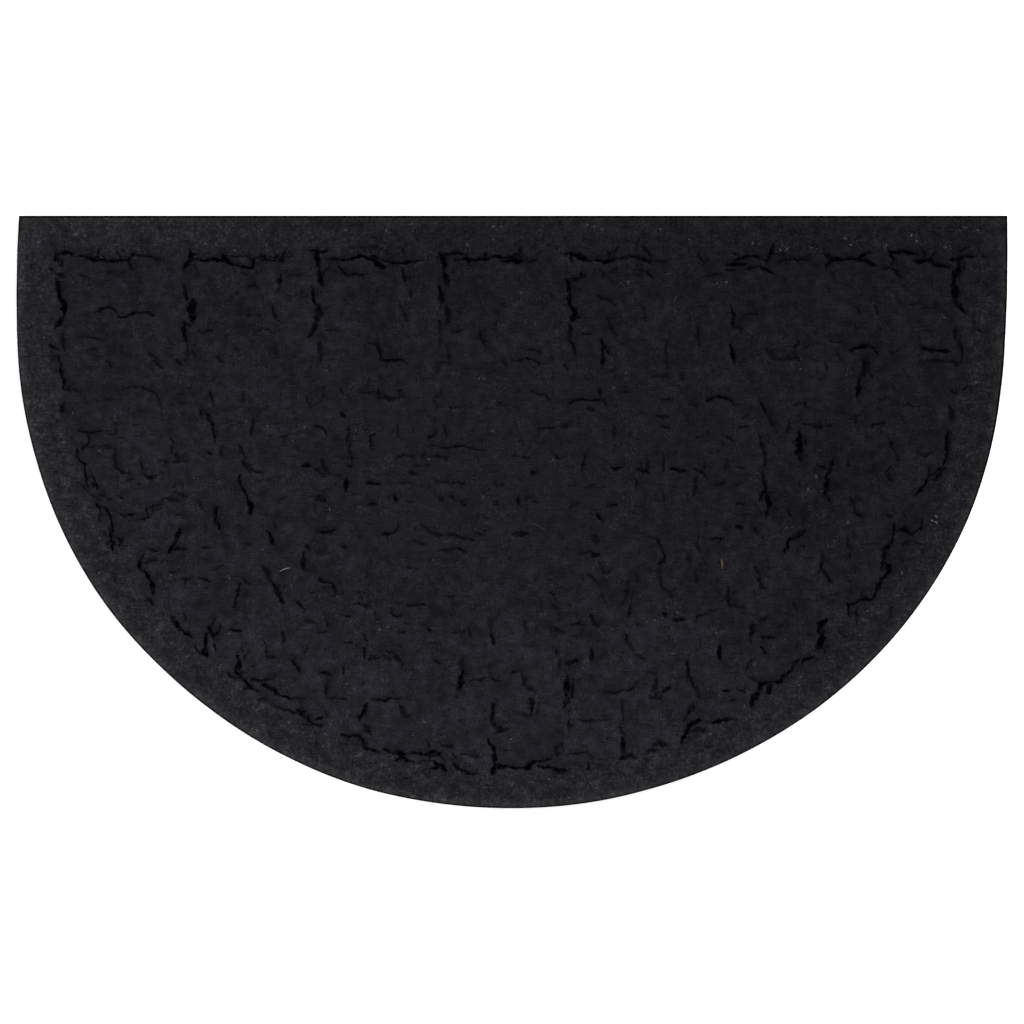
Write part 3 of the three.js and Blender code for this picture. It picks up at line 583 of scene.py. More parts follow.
creases_below_the_middle = [
    # x, y, across, up, bow, width, depth
    (-312, 0, 0, -5, 0, 1.8, 0.6), (-308, 3, 6, -10, 0.5, 1.8, 0.9), (-302, -7, -2, -9, 0, 2.8, 1),
    (-304, -16, 2, -11, 0.4, 3.6, 1.1), (-309, -15, 2, -3, 0, 2.3, 0.6), (-306, -22, 0, -2, 0, 2.6, 0.6),
    (-298, -19, 2, -4, 1, 3, 0.9), (-297, -1, 12, 0, -1, 1.3, 0.7), (-279, -5, 5, 2, 0, 2.3, 0.6),
    (-272, -1, 6, 4, 0, 2, 0.5), (-254, -2, 3, 0, 0, 2.7, 0.9), (-251, -13, -4, -10, 0, 3.6, 1),
    (-255, -22, -4, -8, 0, 3.2, 1), (-256, -28, 8, 1, 0, 2.6, 0.7), (-275, -28, 9, 0, 0, 2.6, 0.5),
    (-279, -32, -2, -6, 0, 2.2, 0.7), (-282, -37, 1, -7, 0.5, 2.8, 1), (-278, -44, 4, -8, 0, 3.2, 1),
    (-274, -51, 2, -10, 0.5, 3.3, 1), (-276, -64, 4, -5, 0.4, 1.6, 0.8), (-279, -38, 11, 1, 0, 1.5, 0.5),
    (-267, -37, 7, 0, 0, 1.5, 0.6), (-257, -80, 5, -9, 0.7, 3.2, 1), (-259, -45, 3, 0, 0, 2, 0.5),
    (-223, 3, -2, -9, 0, 3.7, 1), (-223, -6, 1, -7, 0, 3.2, 0.9), (-184, -14, 3, -10, 0, 2.1, 1),
    (-180, -8, 2, -4, 0, 1.2, 0.35), (-204, -24, 6, 0, 0, 2.2, 0.35), (-234, -27, 3, 0, 0, 2.3, 0.6),
    (-236, -34, 6, -1, 0, 1.5, 0.35), (-225, -43, 7, 3, 0, 1.9, 0.5), (-158, -31, 1, -12, 0.3, 3, 0.9),
    (-157, -43, 5, -2, 0, 1.7, 0.4), (-155, -25, 1, -3, 0, 3, 0.6), (-145, -15, 8, -1, 0, 2.7, 1),
    (-138, -16, 4, 3, 0, 2, 0.7), (-129, -26, 2, -1, 0, 2.7, 0.9), (-187, -43, 6, -10, 0, 3.8, 0.6),
    (-181, -53, 8, -15, 0, 3.9, 0.9), (-250, -50, 7, 0, 0, 1.7, 0.6), (-236, -50, 6, -2, 0, 2.3, 0.8),
    (-204, -50, 6, -4, 0, 2.2, 0.5), (-206, -54, -3, -11, 0.3, 2.8, 0.9), (-209, -65, -1, -6, 0, 3, 0.9),
    (-145, -51, 10, -4, 0.3, 2.3, 0.7), (-135, -54, 1, -8, 0.5, 2.8, 0.8), (-133, -62, 5, 0, 0, 1.4, 0.4),
    (-162, -68, 5, -4, 0, 2.2, 0.6), (-155, -82, 5, -2, 0, 2.2, 0.35), (-141, -80, 2, -6, 0, 1.9, 0.5),
    (-145, -91, 6, 0, 0, 1.4, 0.5), (-155, -101, -2, -8, 0, 1.8, 0.5), (-174, -92, 1, -6, 0.4, 2.6, 0.6),
    (-188, -97, 3, -12, 0.5, 2.1, 0.6), (-185, -109, 7, -1, 0, 1.9, 0.6), (-212, -89, 6, -1, 0, 2.3, 0.9),
    (-225, -80, -4, -7, 0, 2, 0.5), (-229, -87, 3, -9, 0, 3.4, 1), (-226, -95, 5, 9, -1, 2.4, 0.7),
    (-231, -92, -2, -8, 0, 3, 1), (-233, -100, 2, -8, -0.5, 3.6, 1), (-239, -103, 6, -4, -0.5, 2, 0.6),
    (-225, -100, 1, -2, 0, 2.4, 0.7), (-251, -89, 9, -5, 0, 2.6, 1), (-249, -77, 2, -5, 0, 2.2, 0.5),
    (-204, -103, 1, -3, 0, 3, 0.4), (-127, -79, 3, 0, 0, 1.9, 0.7), (-97, -16, 7, 0, 0, 2.3, 0.9),
    (-90, -16, 5, 5, 0, 2, 0.6), (-68, -10, 7, -6, -0.3, 2.4, 0.4), (-61, -16, 8, -1, 0, 2.6, 0.5),
    (-49, -17, 6, 0, 0, 2.6, 0.8), (-42, -19, 12, -1, 0, 2, 0.6), (-74, -22, 7, -2, 0, 1.7, 0.4),
    (-54, -28, 11, 0, 0, 2.2, 0.4), (-43, -27, 6, -2, 0, 2.4, 0.9), (-27, -16, 5, -1, 0, 2.8, 0.35),
    (-79, -42, 7, 0, 0, 1.5, 0.4), (-117, -60, 3, -6, 0, 2.7, 0.4), (-120, -69, 7, 0, 0, 2, 0.6),
    (-113, -69, 4, -2, 0, 2.5, 0.8), (-92, -73, 2, -5, 0, 2.4, 0.9), (-90, -78, 5, -1, -0.5, 2.3, 0.9),
    (-79, -70, 12, 0, 0.3, 1.6, 0.65), (-49, -64, 6, 0, 0, 1.8, 0.6), (-66, -86, 4, -4, 0, 1.8, 0.8),
    (-80, -84, 3, -1, 0, 1.8, 0.6), (-103, -76, 0, -2, 0, 2, 0.7), (-86, -91, 6, 0, 0, 1.7, 0.5),
    (-60, -99, 5, 0, 0, 1.8, 0.5), (-33, -88, 2, -6, 0, 2.7, 0.6), (-40, -91, 4, 0, 0, 1.8, 0.4),
    (-17, -80, 0, -10, 0, 3.6, 0.3), (-17, -91, 3, -9, 0, 3, 0.8), (-113, -93, 3, -4, 0, 2.3, 0.6),
    (-112, -103, 0, -8, 0, 2.7, 0.9), (-108, -111, 7, 1, 0, 1.9, 0.8), (-94, -104, 4, -2, 0, 2.3, 0.6),
    (-88, -108, 3, -4, 0, 2.6, 0.8), (-96, -108, 5, -4, 0, 2, 0.35), (-127, -99, 6, 0, 0, 2.2, 0.5),
    (1, -17, 11, 0, 0.3, 3, 0.7), (65, -1, 3, -4, 0, 2.8, 1), (64, -17, 0, -7, 0, 4.5, 0.5),
    (49, -31, 11, 1, 0, 2.2, 0.5), (61, -32, 5, -1, 0, 2.8, 0.8), (66, -38, 4, -8, 0, 3, 0.35),
    (70, -46, 5, 3, 0, 3, 0.5), (58, -47, 8, -8, 0, 3, 0.45), (68, -61, 3, -6, 0, 2.6, 0.35),
    (30, -62, 4, -4, 0, 2.6, 0.4), (31, -70, 4, -4, 0, 2.8, 0.4), (8, -82, 4, -9, 0, 3, 0.3),
    (46, -85, 8, 0, 0.3, 2, 0.6), (31, -87, 9, -4, 0, 2.2, 0.5), (60, -77, 1, -6, 0, 3, 0.6),
    (61, -83, 4, -3, 0, 2.6, 0.6), (88, -50, -3, -18, 0.5, 3.2, 0.4), (89, -72, -1, -7, 0, 2.3, 0.9),
    (94, -46, 1, -6, 1, 2.2, 0.35), (87, -93, 0, -5, 0, 2.3, 0.9), (88, -98, 3, -6, 0, 3, 0.6),
    (92, -107, 8, -4, 0, 2.2, 0.5), (109, -20, 6, -11, 0.7, 3, 0.6), (116, -33, -5, -6, 1, 3.2, 0.9),
    (112, -42, 1, -16, 0, 3.4, 0.35), (103, -18, 6, -2, 0, 2, 0.35), (115, -76, 1, -2, 0, 3, 1),
    (122, -81, 8, 0, 0, 2.2, 1), (60, -104, 0, -8, 0, 2.6, 0.8), (34, -105, 0, -2, 0, 2.7, 0.6),
    (194, 2, -1, -4, 0, 3.6, 1), (209, 3, 1, -4, 0, 1.2, 0.5), (171, -11, 3, -2, 0, 3.2, 0.9),
    (184, -12, 3, -6, 0, 2.2, 0.35), (150, -19, 8, 0, 0, 2, 0.7), (158, -19, -1, -4, 0, 2.3, 0.8),
    (141, -20, -1, -8, 0, 2, 0.45), (221, -3, -1, -8, 0, 2.4, 0.3), (222, -13, -7, -6, 0, 3.8, 1),
    (214, -19, -5, -3, 0, 4.4, 1), (209, -22, -3, -8, 0.4, 3.2, 1), (219, -26, 2, 0, 0, 2.2, 0.6),
    (184, -41, 4, -7, 0, 2.7, 0.6), (187, -51, 1, -6, 0, 3.4, 0.75), (188, -57, 5, 0, 0, 2, 0.6),
    (139, -44, 0, -9, 0, 2.8, 0.35), (164, -57, 1, -13, -1.5, 3.4, 0.6), (166, -70, 9, -2, -0.7, 1.5, 0.5),
    (234, -32, -1, -12, 0, 2.9, 0.8), (236, -44, 4, -7, 0, 2.7, 0.8), (241, -62, 5, 1, 0, 1.8, 0.6),
    (213, -70, 3, -3, 0, 3.2, 0.5), (138, -83, 3, 5, 0, 2.3, 0.7), (141, -78, 6, 1, 0, 2.3, 0.8),
    (150, -74, 6, 1, 0, 2.8, 0.35), (182, -86, -1, -8, 0, 4, 0.85), (181, -94, 0, -5, 0, 2.6, 0.6),
    (189, -80, -3, -4, 0, 2.2, 0.5), (189, -94, 10, 0, 0, 2.1, 0.8), (202, -86, 3, 0, 0, 2, 0.5),
    (189, -101, 2, -5, 0, 2.4, 0.8), (237, -81, -5, -6, 0, 3.6, 1), (232, -86, 3, -8, 0, 4.6, 1),
    (235, -93, -4, -11, 1, 6.4, 1.1), (237, -102, 0, -6, 0, 1.8, 0.6), (158, -101, -1, -10, 0, 3.5, 1),
    (261, -1, 3, -2, 0, 2.7, 0.7), (283, -1, 4, -2, 0, 3, 0.7), (254, -18, 1, -17, 0.3, 3, 0.5),
    (289, -9, -1, -13, 0, 1.7, 0.9), (288, -22, -6, -7, 0.3, 2.3, 1), (282, -29, -2, -13, 0.4, 2.7, 1),
    (284, -39, 2, -4, 0.5, 3.2, 1), (286, -43, -6, -7, 0, 3.4, 1), (280, -50, -5, -10, 0.3, 2.3, 1),
    (275, -60, -2, -6, 0, 2.4, 1), (273, -66, -9, 0, 0, 2, 1), (264, -66, -9, -4, 0.5, 2.5, 1),
    (255, -70, 0, -7, 0, 2.3, 0.9), (294, -13, 7, -3, 1, 3.2, 0.9), (302, -17, 7, 5, 0, 2.5, 0.9),
    (309, -12, 1, 6, 0, 2, 0.6), (295, -24, 5, 1, 0, 1.8, 0.6), (261, -73, 0, -7, 0, 2.1, 0.7),
    (264, -61, 1, -2, 0, 2.7, 0.5), (287, -72, -1, -6, 0, 2.2, 0.3), (-148, -30, 10, -1, -1, 2.4, 0.35),
    (-301, -46, 1, -6, 0, 4, 0.3), (112.5, -56, 6.5, -5, 0, 2.4, 0.4), (119, -61, 2.5, -5, 0, 2.2, 0.4),
    (140.5, -21.5, 1, -8.5, 0, 2.4, 0.45), (133, -32, 2, -6, 0, 4, 0.3), (140, -39, 7, 0, 0, 1.8, 0.4),
    (188, -84, 5, 6, 0, 2.2, 0.4), (247, -88, 5, -6, -1, 2, 0.4), (261.5, -76, -1.5, -8, 0, 2, 0.5),
]
creases_by_the_round_edge = [
    # x, y, across, up, bow, width, depth
    (-207, -109, -1, -12, 0.4, 2.7, 1), (-208, -121, 5, -5, 0, 3.2, 1), (-203, -126, 5, -6, -0.4, 3.2, 1),
    (-215, -122, 7, -3, -0.3, 2, 0.6), (-208, -121, 6, -1, 0, 2, 0.6), (-202, -133, 11, -2, 0.7, 2.2, 0.8),
    (-197, -126, 14, -1, -0.8, 2.2, 0.8), (-188, -131, 9, -4, 0, 3, 1), (-179, -135, 4, -4, 0, 3.2, 1),
    (-175, -139, 7, -1, 0, 2.3, 1), (-168, -140, 12, 0, 0, 1.3, 0.55), (-192, -142, 4, 1, 0, 2.4, 0.8),
    (-188, -141, 3, -3, 0, 2.2, 0.7), (-181, -146, 14, -5, -0.5, 1.5, 0.6), (-167, -151, 6, -1, 0, 2, 0.7),
    (-161, -150, 4, -5, 0, 3.2, 1), (-157, -155, 3, 0, 0, 2.6, 1), (-154, -155, 3, -4, 0, 3.4, 1),
    (-151, -159, 6, -2, 0, 2.4, 0.9), (-149, -156, 5, 1, 0, 2.6, 0.9), (-158, -161, 7, 0, 0, 1.5, 0.5),
    (-167, -112, 4, -5, 0.3, 2, 0.6), (-163, -117, 3, -4, 0, 2.3, 0.8), (-145, -121, 7, -2, 0.3, 2.4, 0.9),
    (-140, -130, -1, -9, 0, 2.7, 0.6), (-127, -118, 0, -4, 0, 2.8, 0.8), (-140, -141, 8, 0, 0.3, 1.8, 0.5),
    (-132, -141, 7, -1, 0, 1.5, 0.6), (-160, -141, 1, -8, 0, 3, 0.35), (-143, -150, 4, -4, 0, 2.2, 0.35),
    (-197, -117, 2, 0, 0, 2.4, 0.5), (-128, -169, 6, -1, 0, 2.7, 1), (-122, -169, 8, 0, 0, 1.8, 0.7),
    (-129, -176, 8, -1, 0, 2.2, 0.35), (-114, -170, 2, -8, 0.3, 3.2, 1),
    (-112, -178, 11, -4, 0.3, 2.3, 0.9), (-111, -146, -4, -11, 0.3, 3.4, 1),
    (-112, -160, 4, -7, 0, 3.2, 0.7), (-106, -142, 5, 1, 0, 2.4, 0.7), (-102, -141, 16, 0, 0, 2.2, 0.9),
    (-91, -137, 2, -3, 0, 2.4, 0.4), (-97, -179, 7, -2, 0, 1.4, 0.9), (-90, -182, 10, -1, -0.5, 3.5, 1),
    (-80, -183, 14, 0, 1.2, 2.3, 0.9), (-66, -183, 13, 1, -0.3, 4, 1.1), (-54, -183, 3, -4, 0, 2.2, 0.6),
    (-88, -188, 4, 2, 0, 2.8, 0.9), (-84, -186, 5, -2, 0, 2.8, 1), (-79, -188, 9, -1, 0, 1.5, 0.5),
    (-70, -188, 12, -1, 1.3, 1.7, 0.7), (-61, -194, 7, 1, 0, 2.3, 0.9), (-58, -190, 8, -5, 0, 3.2, 1),
    (-45, -182, 3, -3, 0, 2.3, 0.6), (-37, -183, 12, -1, 0, 2.1, 0.6), (-43, -190, 5, -6, 0, 2.6, 0.9),
    (-38, -196, 10, -1, 0, 2.5, 0.9), (-17, -173, 3, -8, 0.4, 3.3, 1), (-14, -181, 1, -10, 0, 2.7, 0.95),
    (-13, -191, -2, -7, 0, 3.2, 1), (-13, -191, 11, -1, -0.7, 3.2, 1), (-14, -145, 0, -7, 0, 3, 1),
    (-14, -151, -1, -7, 0, 2.8, 0.9), (-13, -160, 5, -6, -0.5, 5, 0.85), (-8, -166, 5, 2, 0, 2.8, 0.5),
    (-38, -110, 1, -11, 0, 3.6, 0.4), (-37, -120, -3, -14, 0.5, 3.6, 1), (-41, -136, -1, -5, 0, 2, 0.4),
    (-30, -128, 12, 2, 0.4, 1.9, 0.7), (-18, -126, 9, -1, 0, 1.6, 0.5), (-59, -113, 4, -1, 0, 2.2, 0.8),
    (-88, -109, 4, -5, 0, 2.7, 0.7), (-17, -115, 0, -7, 0, 3, 0.35), (-84, -147, 2, -6, -0.4, 2.8, 0.6),
    (-82, -153, 5, -2, 0, 2.4, 0.6), (-66, -173, 4, -5, 0.3, 2.5, 0.5), (-52, -176, 6, -1, 0, 2.8, 0.6),
    (-2, -192, 12, -2, 0, 2, 1), (10, -194, 4, 4, 0, 4.3, 1), (12, -191, 7, 3, 0.4, 2.8, 1),
    (19, -188, 9, 1, -0.4, 1.9, 0.9), (20, -192, 12, -1, 0, 1.6, 0.9), (32, -194, 9, -1, 0, 3.8, 0.9),
    (34, -197, 5, 1, 0, 2.4, 0.6), (38, -174, -4, -4, 0, 2.6, 0.5), (34, -178, 0, -6, 0, 3, 0.6),
    (44, -182, 12, 0, 0, 2, 0.6), (56, -182, 5, -3, 0, 1.8, 0.45), (58, -190, 0, -4, 0, 3, 0.9),
    (63, -190, 3, -3, 0, 2, 0.35), (84, -171, 1, -7, 0, 3.2, 1), (85, -178, 0, -6, 0, 3.2, 1),
    (82, -186, 7, 2, 0, 2.6, 0.8), (89, -184, 4, -2, 0, 3, 0.9), (107, -176, 4, 2, 0, 2.8, 0.8),
    (111, -174, 6, -3, 0, 2.6, 0.8), (103, -181, 6, 1, 0, 2.2, 0.6), (42, -124, 0, -14, 0, 4.8, 1),
    (46, -126, 0, -13, -0.5, 2.4, 0.8), (43, -140, -3, -7, 0, 3.2, 0.7), (41, -114, 8, 2, 0, 2.8, 0.8),
    (36, -112, -1, -6, 0, 2.2, 0.5), (43, -156, 0, -5, 0, 2.2, 0.6), (44, -161, 0, -8, 0, 2.4, 0.35),
    (51, -157, 20, 0, -0.8, 1.7, 0.6), (0, -121, 6, 0, 0, 1.8, 0.6), (7, -122, 3, -9, 0, 2.4, 0.5),
    (10, -131, 6, -4, 0, 2.6, 0.5), (15, -142, 0, -10, 0, 4, 0.8), (20, -144, 0, -8, 0, 2, 0.35),
    (9, -153, 11, 1, 0, 2.4, 0.35), (71, -136, 15, 2, -0.4, 1.2, 0.7), (87, -135, 8, 7, -0.4, 2.4, 0.6),
    (109, -126, -1, -12, 0, 3.4, 0.7), (104, -140, 8, 0, 0, 3, 0.45), (114, -136, 5, 3, 0, 2.7, 0.8),
    (84, -142, 0, -16, 0, 2.4, 0.35), (82, -163, 4, -6, 0, 2.4, 0.5), (103, -121, 6, 0, 0, 1.8, 0.4),
    (216, -111, -4, -8, -0.4, 2.8, 1), (212, -119, -8, -8, -0.6, 3, 1), (205, -127, -7, -2, 0, 3.6, 1),
    (198, -129, -11, 0, 0, 2.6, 1), (188, -129, -2, -8, 0, 4, 1), (186, -136, -4, -6, 0, 3.8, 1),
    (182, -141, -1, -6, 0, 2.6, 0.9), (181, -126, 6, -3, 0, 2.2, 0.5), (195, -130, -1, -7, 0, 3.2, 1),
    (219, -112, 9, 2, 0, 1.9, 0.9), (133, -113, 1, -9, 0, 2.6, 0.8), (134, -122, 4, -9, 0, 2.6, 0.7),
    (140, -132, 2, -8, 0.5, 2.8, 0.5), (137, -146, -4, -6, 0, 3.6, 0.8), (133, -152, -2, -6, 0, 2.8, 0.4),
    (142, -156, -6, -5, 0, 4.8, 1), (136, -161, -5, -6, 0, 5.2, 1), (131, -167, -3, -8, -0.6, 2.8, 1),
    (134, -166, 12, 1, 0.6, 2.3, 0.9), (152, -159, 6, 2, 0, 4.6, 1.1), (158, -157, 5, 2, 0, 3.2, 1),
    (163, -155, 5, -1, 0, 2.2, 0.6), (143, -158, 8, -1, 0, 1.8, 0.4), (160, -135, 3, 0, 0, 3, 0.9),
    (172, -134, 4, -2, 0, 2.4, 0.8), (164, -143, 4, 0, 0, 1.8, 0.6), (180, -112, -2, -7, 0, 2.4, 0.5),
    (147, -178, 4, 0, 0, 3.5, 0.35), (141, -180, 4, -0.5, 0, 2.4, 0.35), (-203, -112, 4, 7, 0, 2.4, 0.5),
    (-115, -131, 3, 2, 0, 1.8, 0.5), (-82.3, -148, 0.3, -6, 0, 2.4, 0.55),
]


def small_wrinkles():
    """Short faint wrinkles between the creases: level ones in the middle, any way elsewhere."""
    chance = np.random.default_rng(31)
    wrinkles = []
    while len(wrinkles) < wrinkle_count:
        x = chance.uniform(-half_width, half_width)
        y = chance.uniform(rubber_low.y, rubber_high.y)
        if not inside_outline(x, y, 8):
            continue
        middle = abs(x) < 200 and -20 < y < 90
        turn = chance.normal(0, 0.12) if middle else chance.uniform(-math.pi, math.pi)
        length = chance.uniform(2.5, 9)
        run = (length * math.cos(turn), length * math.sin(turn))
        wrinkles.append((x, y, *run, chance.uniform(-0.8, 0.8), chance.uniform(1, 1.9),
                         chance.uniform(0.03, 0.2)))
    return wrinkles


def steps_near(start, run, reach, first, step):
    """The slice of a lattice's steps, counted from the first, that a run comes within reach of."""
    low = min(start, start + run) - reach - first
    high = max(start, start + run) + reach - first
    return slice(max(int(low / step), 0), int(high / step) + 1)


class Lattice:
    """The points of the mat's top in even triangles, and what the creases do at each of them."""

    def __init__(self):
        self.row_step = fine * math.sqrt(3) / 2
        self.left = -half_width - 4 * fine
        self.low = rubber_low.y - 4 * fine
        row_count = int((rubber_high.y - self.low) / self.row_step) + 4
        column_count = int((half_width - self.left) / fine) + 4
        self.row, self.column = np.mgrid[0:row_count, 0:column_count]
        self.x = self.left + fine * (self.column + 0.5 * (self.row % 2))
        self.y = self.low + self.row_step * self.row
        self.stray_x = self.x + self.lumps(6, 0.9, 41) + self.lumps(2.4, 0.6, 43) + shift_left
        self.stray_y = self.y + self.lumps(6, 0.9, 47) + self.lumps(2.4, 0.6, 53) + shift_down
        self.swell = 0.92 + self.lumps(3.0, 0.5, 59)
        self.patchy = np.clip(0.93 + self.lumps(3.4, 0.3, 83) + self.lumps(1.7, 0.25, 89), 0.3, 1)
        for field in ("pull", "near", "dark", "shade", "sag", "depth", "lip"):
            setattr(self, field, np.zeros_like(self.x))

    def lumps(self, lump, size, seed):
        """Random lumps of this width and height at every point."""
        return size * soft_noise(self.x, self.y, lump, seed)

    def every(self, step):
        """True for a coarser lattice of even triangles, with points this many steps apart."""
        return ((self.column - self.row // 2) % step == 0) & (self.row % step == 0)

    def press(self, crease, shaded_side):
        """Press one crease into the top: a ragged trough with painted shade in it and on one side, and a
        lip painted pale on the other.
        """
        x, y, across, up, bow, width, deep = crease
        length = math.hypot(across, up)
        force = 0.2 + 0.8 * deep if deep > 0.2 else deep + 0.1
        reach = abs(bow) + (14 if deep > 0.2 else 7)
        rows = steps_near(y, up, reach, self.low, self.row_step)
        columns = steps_near(x, across, reach, self.left, fine)
        window = (rows, columns)

        # How far along the crease each point lies, as a share, and how far off its bowed line
        away_x = self.stray_x[window] - x
        away_y = self.stray_y[window] - y
        share = (away_x * across + away_y * up) / length ** 2
        end_reach = crease_end / length
        held = np.clip(share, -end_reach, 1 + end_reach)
        side = (away_y * across - away_x * up) / length - bow * 4 * held * (1 - held)
        past_end = (share - held) * length

        # The trough narrows and fades towards its ends
        middle = np.sin(np.pi * (held + end_reach) / (1 + 2 * end_reach))
        taper = 0.1 + 0.9 * np.maximum(middle, 0) ** 0.6
        fade = np.minimum(1, 0.45 + taper)
        half = np.maximum(width / 2 * taper * self.swell[window], 0.4)
        far = np.hypot(side, past_end)
        away = far / half
        # The shaded side of the crease, where the painted shade spreads further and the lip is painted less
        # pale
        on_shaded_side = side * shaded_side > 0

        # Where creases meet, the stronger pull tells how dark a point is painted: mostly painted shade in
        # the trough, partly the cleaner rubber down in it
        pull = force * np.exp(-away)
        stronger = pull > self.pull[window]
        self.pull[window][stronger] = pull[stronger]
        near = np.maximum(1 - away / 2, 0) * min(1, 0.65 + length / 25)
        self.near[window][stronger] = near[stronger]
        self.dark[window][stronger] = (force * fade * self.patchy[window])[stronger]

        # Painted shade spreads further on the shaded side, and the rubber sags beside the trough; a low lip
        # stands outside it, painted pale, partly dust and partly a painted highlight, most on the side away
        # from the shade
        shoulder = force * fade * np.exp(-(away / np.where(on_shaded_side, 3.2, 1.6)) ** 2)
        shoulder += 0.25 * force * min(1, length / 9) * np.exp(-(far / 6) ** 2) * on_shaded_side
        self.shade[window] = np.maximum(self.shade[window], shoulder)
        trough = force * fade * deepest_crease * min(0.35 + 0.25 * width, 1.0)
        trough = trough * (0.65 * np.exp(-away ** 4) + 0.35 * np.exp(-(away / 2) ** 2))
        self.depth[window] = np.maximum(self.depth[window], trough)
        sag = force * min(1, length / 12) * np.exp(-(far / sag_width) ** 2)
        self.sag[window] = np.maximum(self.sag[window], sag)
        ridge = np.exp(-(away - 2.2) ** 2 * 2) * np.where(on_shaded_side, 0.2, 0.5)
        self.lip[window] = np.maximum(self.lip[window], force * fade * ridge)


def crease_field():
    """The lattice with every crease, wrinkle and soft hollow pressed into it."""
    lattice = Lattice()
    creases = (creases_by_the_straight_edge + creases_above_the_middle + creases_below_the_middle
               + creases_by_the_round_edge + small_wrinkles())
    chance = np.random.default_rng(37)
    # Each crease's painted shade falls on its side towards the upper right, which faces away from the
    # strongest sun; some, at random, the other way
    for crease in creases:
        shaded_side = math.copysign(1, crease[2] - crease[3])
        lattice.press(crease, shaded_side if chance.random() < 0.85 else -shaded_side)
    inside_rim = np.zeros_like(lattice.x)
    blur_steps = 6
    for step in range(blur_steps):
        inside_rim += inside_outline(lattice.x, lattice.y, rim_width - 6 + 2 * step) / blur_steps
    from_calm = ((lattice.x - calm_x) / calm_across) ** 2 + ((lattice.y - calm_y) / calm_up) ** 2
    calm = np.exp(-from_calm ** 2)
    hollows = lattice.lumps(34, 0.25, 61) + lattice.lumps(15, 0.3, 67) + lattice.lumps(7, 0.25, 71)
    hollows *= (0.3 + 0.7 * inside_rim) * (1 - 0.7 * calm)
    lattice.depth += inside_rim * (0.5 + 1.5 * hollows) * (1 - 0.5 * lattice.near * lattice.dark)
    lattice.depth += sag_depth * lattice.sag * (0.3 + 0.7 * inside_rim)
    lattice.depth -= 0.2 * lattice.lip * inside_rim
    lattice.depth = most_depth * np.tanh(lattice.depth / most_depth)
    # Painted shade: hollows are painted darker and swells lighter, added to the painted shade beside the
    # creases
    lattice.shade = 0.17 * lattice.shade + 0.5 * hollows
    lattice.rim = 1 - inside_rim
    lattice.margin = np.zeros_like(lattice.x)
    for inset in range(1, widest_margin + 1):
        lattice.margin += inside_outline(lattice.x, lattice.y, inset)
    return lattice


def lattice_points(lattice):
    """Which lattice points the top keeps: all of them at the creases, and fewer away from them."""
    steep = (lattice.near > 0.12) & (lattice.dark > 0.4)
    sloping = (lattice.near > 0.1) | (lattice.margin < 4)
    kept = lattice.every(plain_step) | (lattice.every(near_step) & sloping) | steep
    return kept & inside_outline(lattice.x, lattice.y, edge_rounding + 0.6 * fine)


def keep_number(piece, name, values):
    """Keep one number for each point of a piece, for its material to read."""
    piece.data.attributes.new(name, "FLOAT", "POINT").data.foreach_set("value", values)


def make_rubber():
    """The moulding: creased top, rounded edges, the rim's underside, and the hollow for the coir."""
    lattice = crease_field()
    kept = lattice_points(lattice)
    height = rubber_high.z
    top_outline = mat_outline(edge_rounding)
    count = len(top_outline)
    inner = np.stack((lattice.x[kept], lattice.y[kept]), axis=1)
    inner_points = np.column_stack((inner, height - lattice.depth[kept]))
    turns = np.linspace(0, math.pi / 2, edge_steps + 1)
    rings = [(edge_rounding * (1 - math.sin(turn)), height - edge_rounding * (1 - math.cos(turn)))
             for turn in turns]
    side_margin = 6.0
    margins = [inset for inset, level in rings] + [side_margin] * (len(rings) + 2)
    rings += [(inset, height - level) for inset, level in reversed(rings)]
    rings += [(rim_width, 0.0), (rim_width, height - back_thickness)]
    loops = [on_level(mat_outline(inset), level) for inset, level in rings]
    points = np.concatenate((*loops, inner_points))
    top = fill_outline(top_outline, inner)
    inner_start = len(loops) * count - count
    faces = np.where(top < count, top, top + inner_start).tolist()
    for ring in range(len(loops) - 1):
        faces += strip(ring * count, (ring + 1) * count, count).tolist()
    ceiling = fill_outline(loops[-1][:, :2], np.empty((0, 2)))[:, ::-1] + (len(loops) - 1) * count
    faces += ceiling.tolist()
    rubber = make_piece("rubber_moulding", points, faces)
    on_loops = np.zeros(len(loops) * count)
    for name in ("near", "dark", "shade", "lip"):
        keep_number(rubber, name, np.concatenate((on_loops, getattr(lattice, name)[kept])))
    keep_number(rubber, "rim", np.concatenate((on_loops + 1, lattice.rim[kept])))
    keep_number(rubber, "margin", np.concatenate((np.repeat(margins, count), lattice.margin[kept] + 0.5)))
    rubber.data.shade_smooth()
    sharp_from = 60
    rubber.data.set_sharp_from_angle(angle=math.radians(sharp_from))
    return rubber


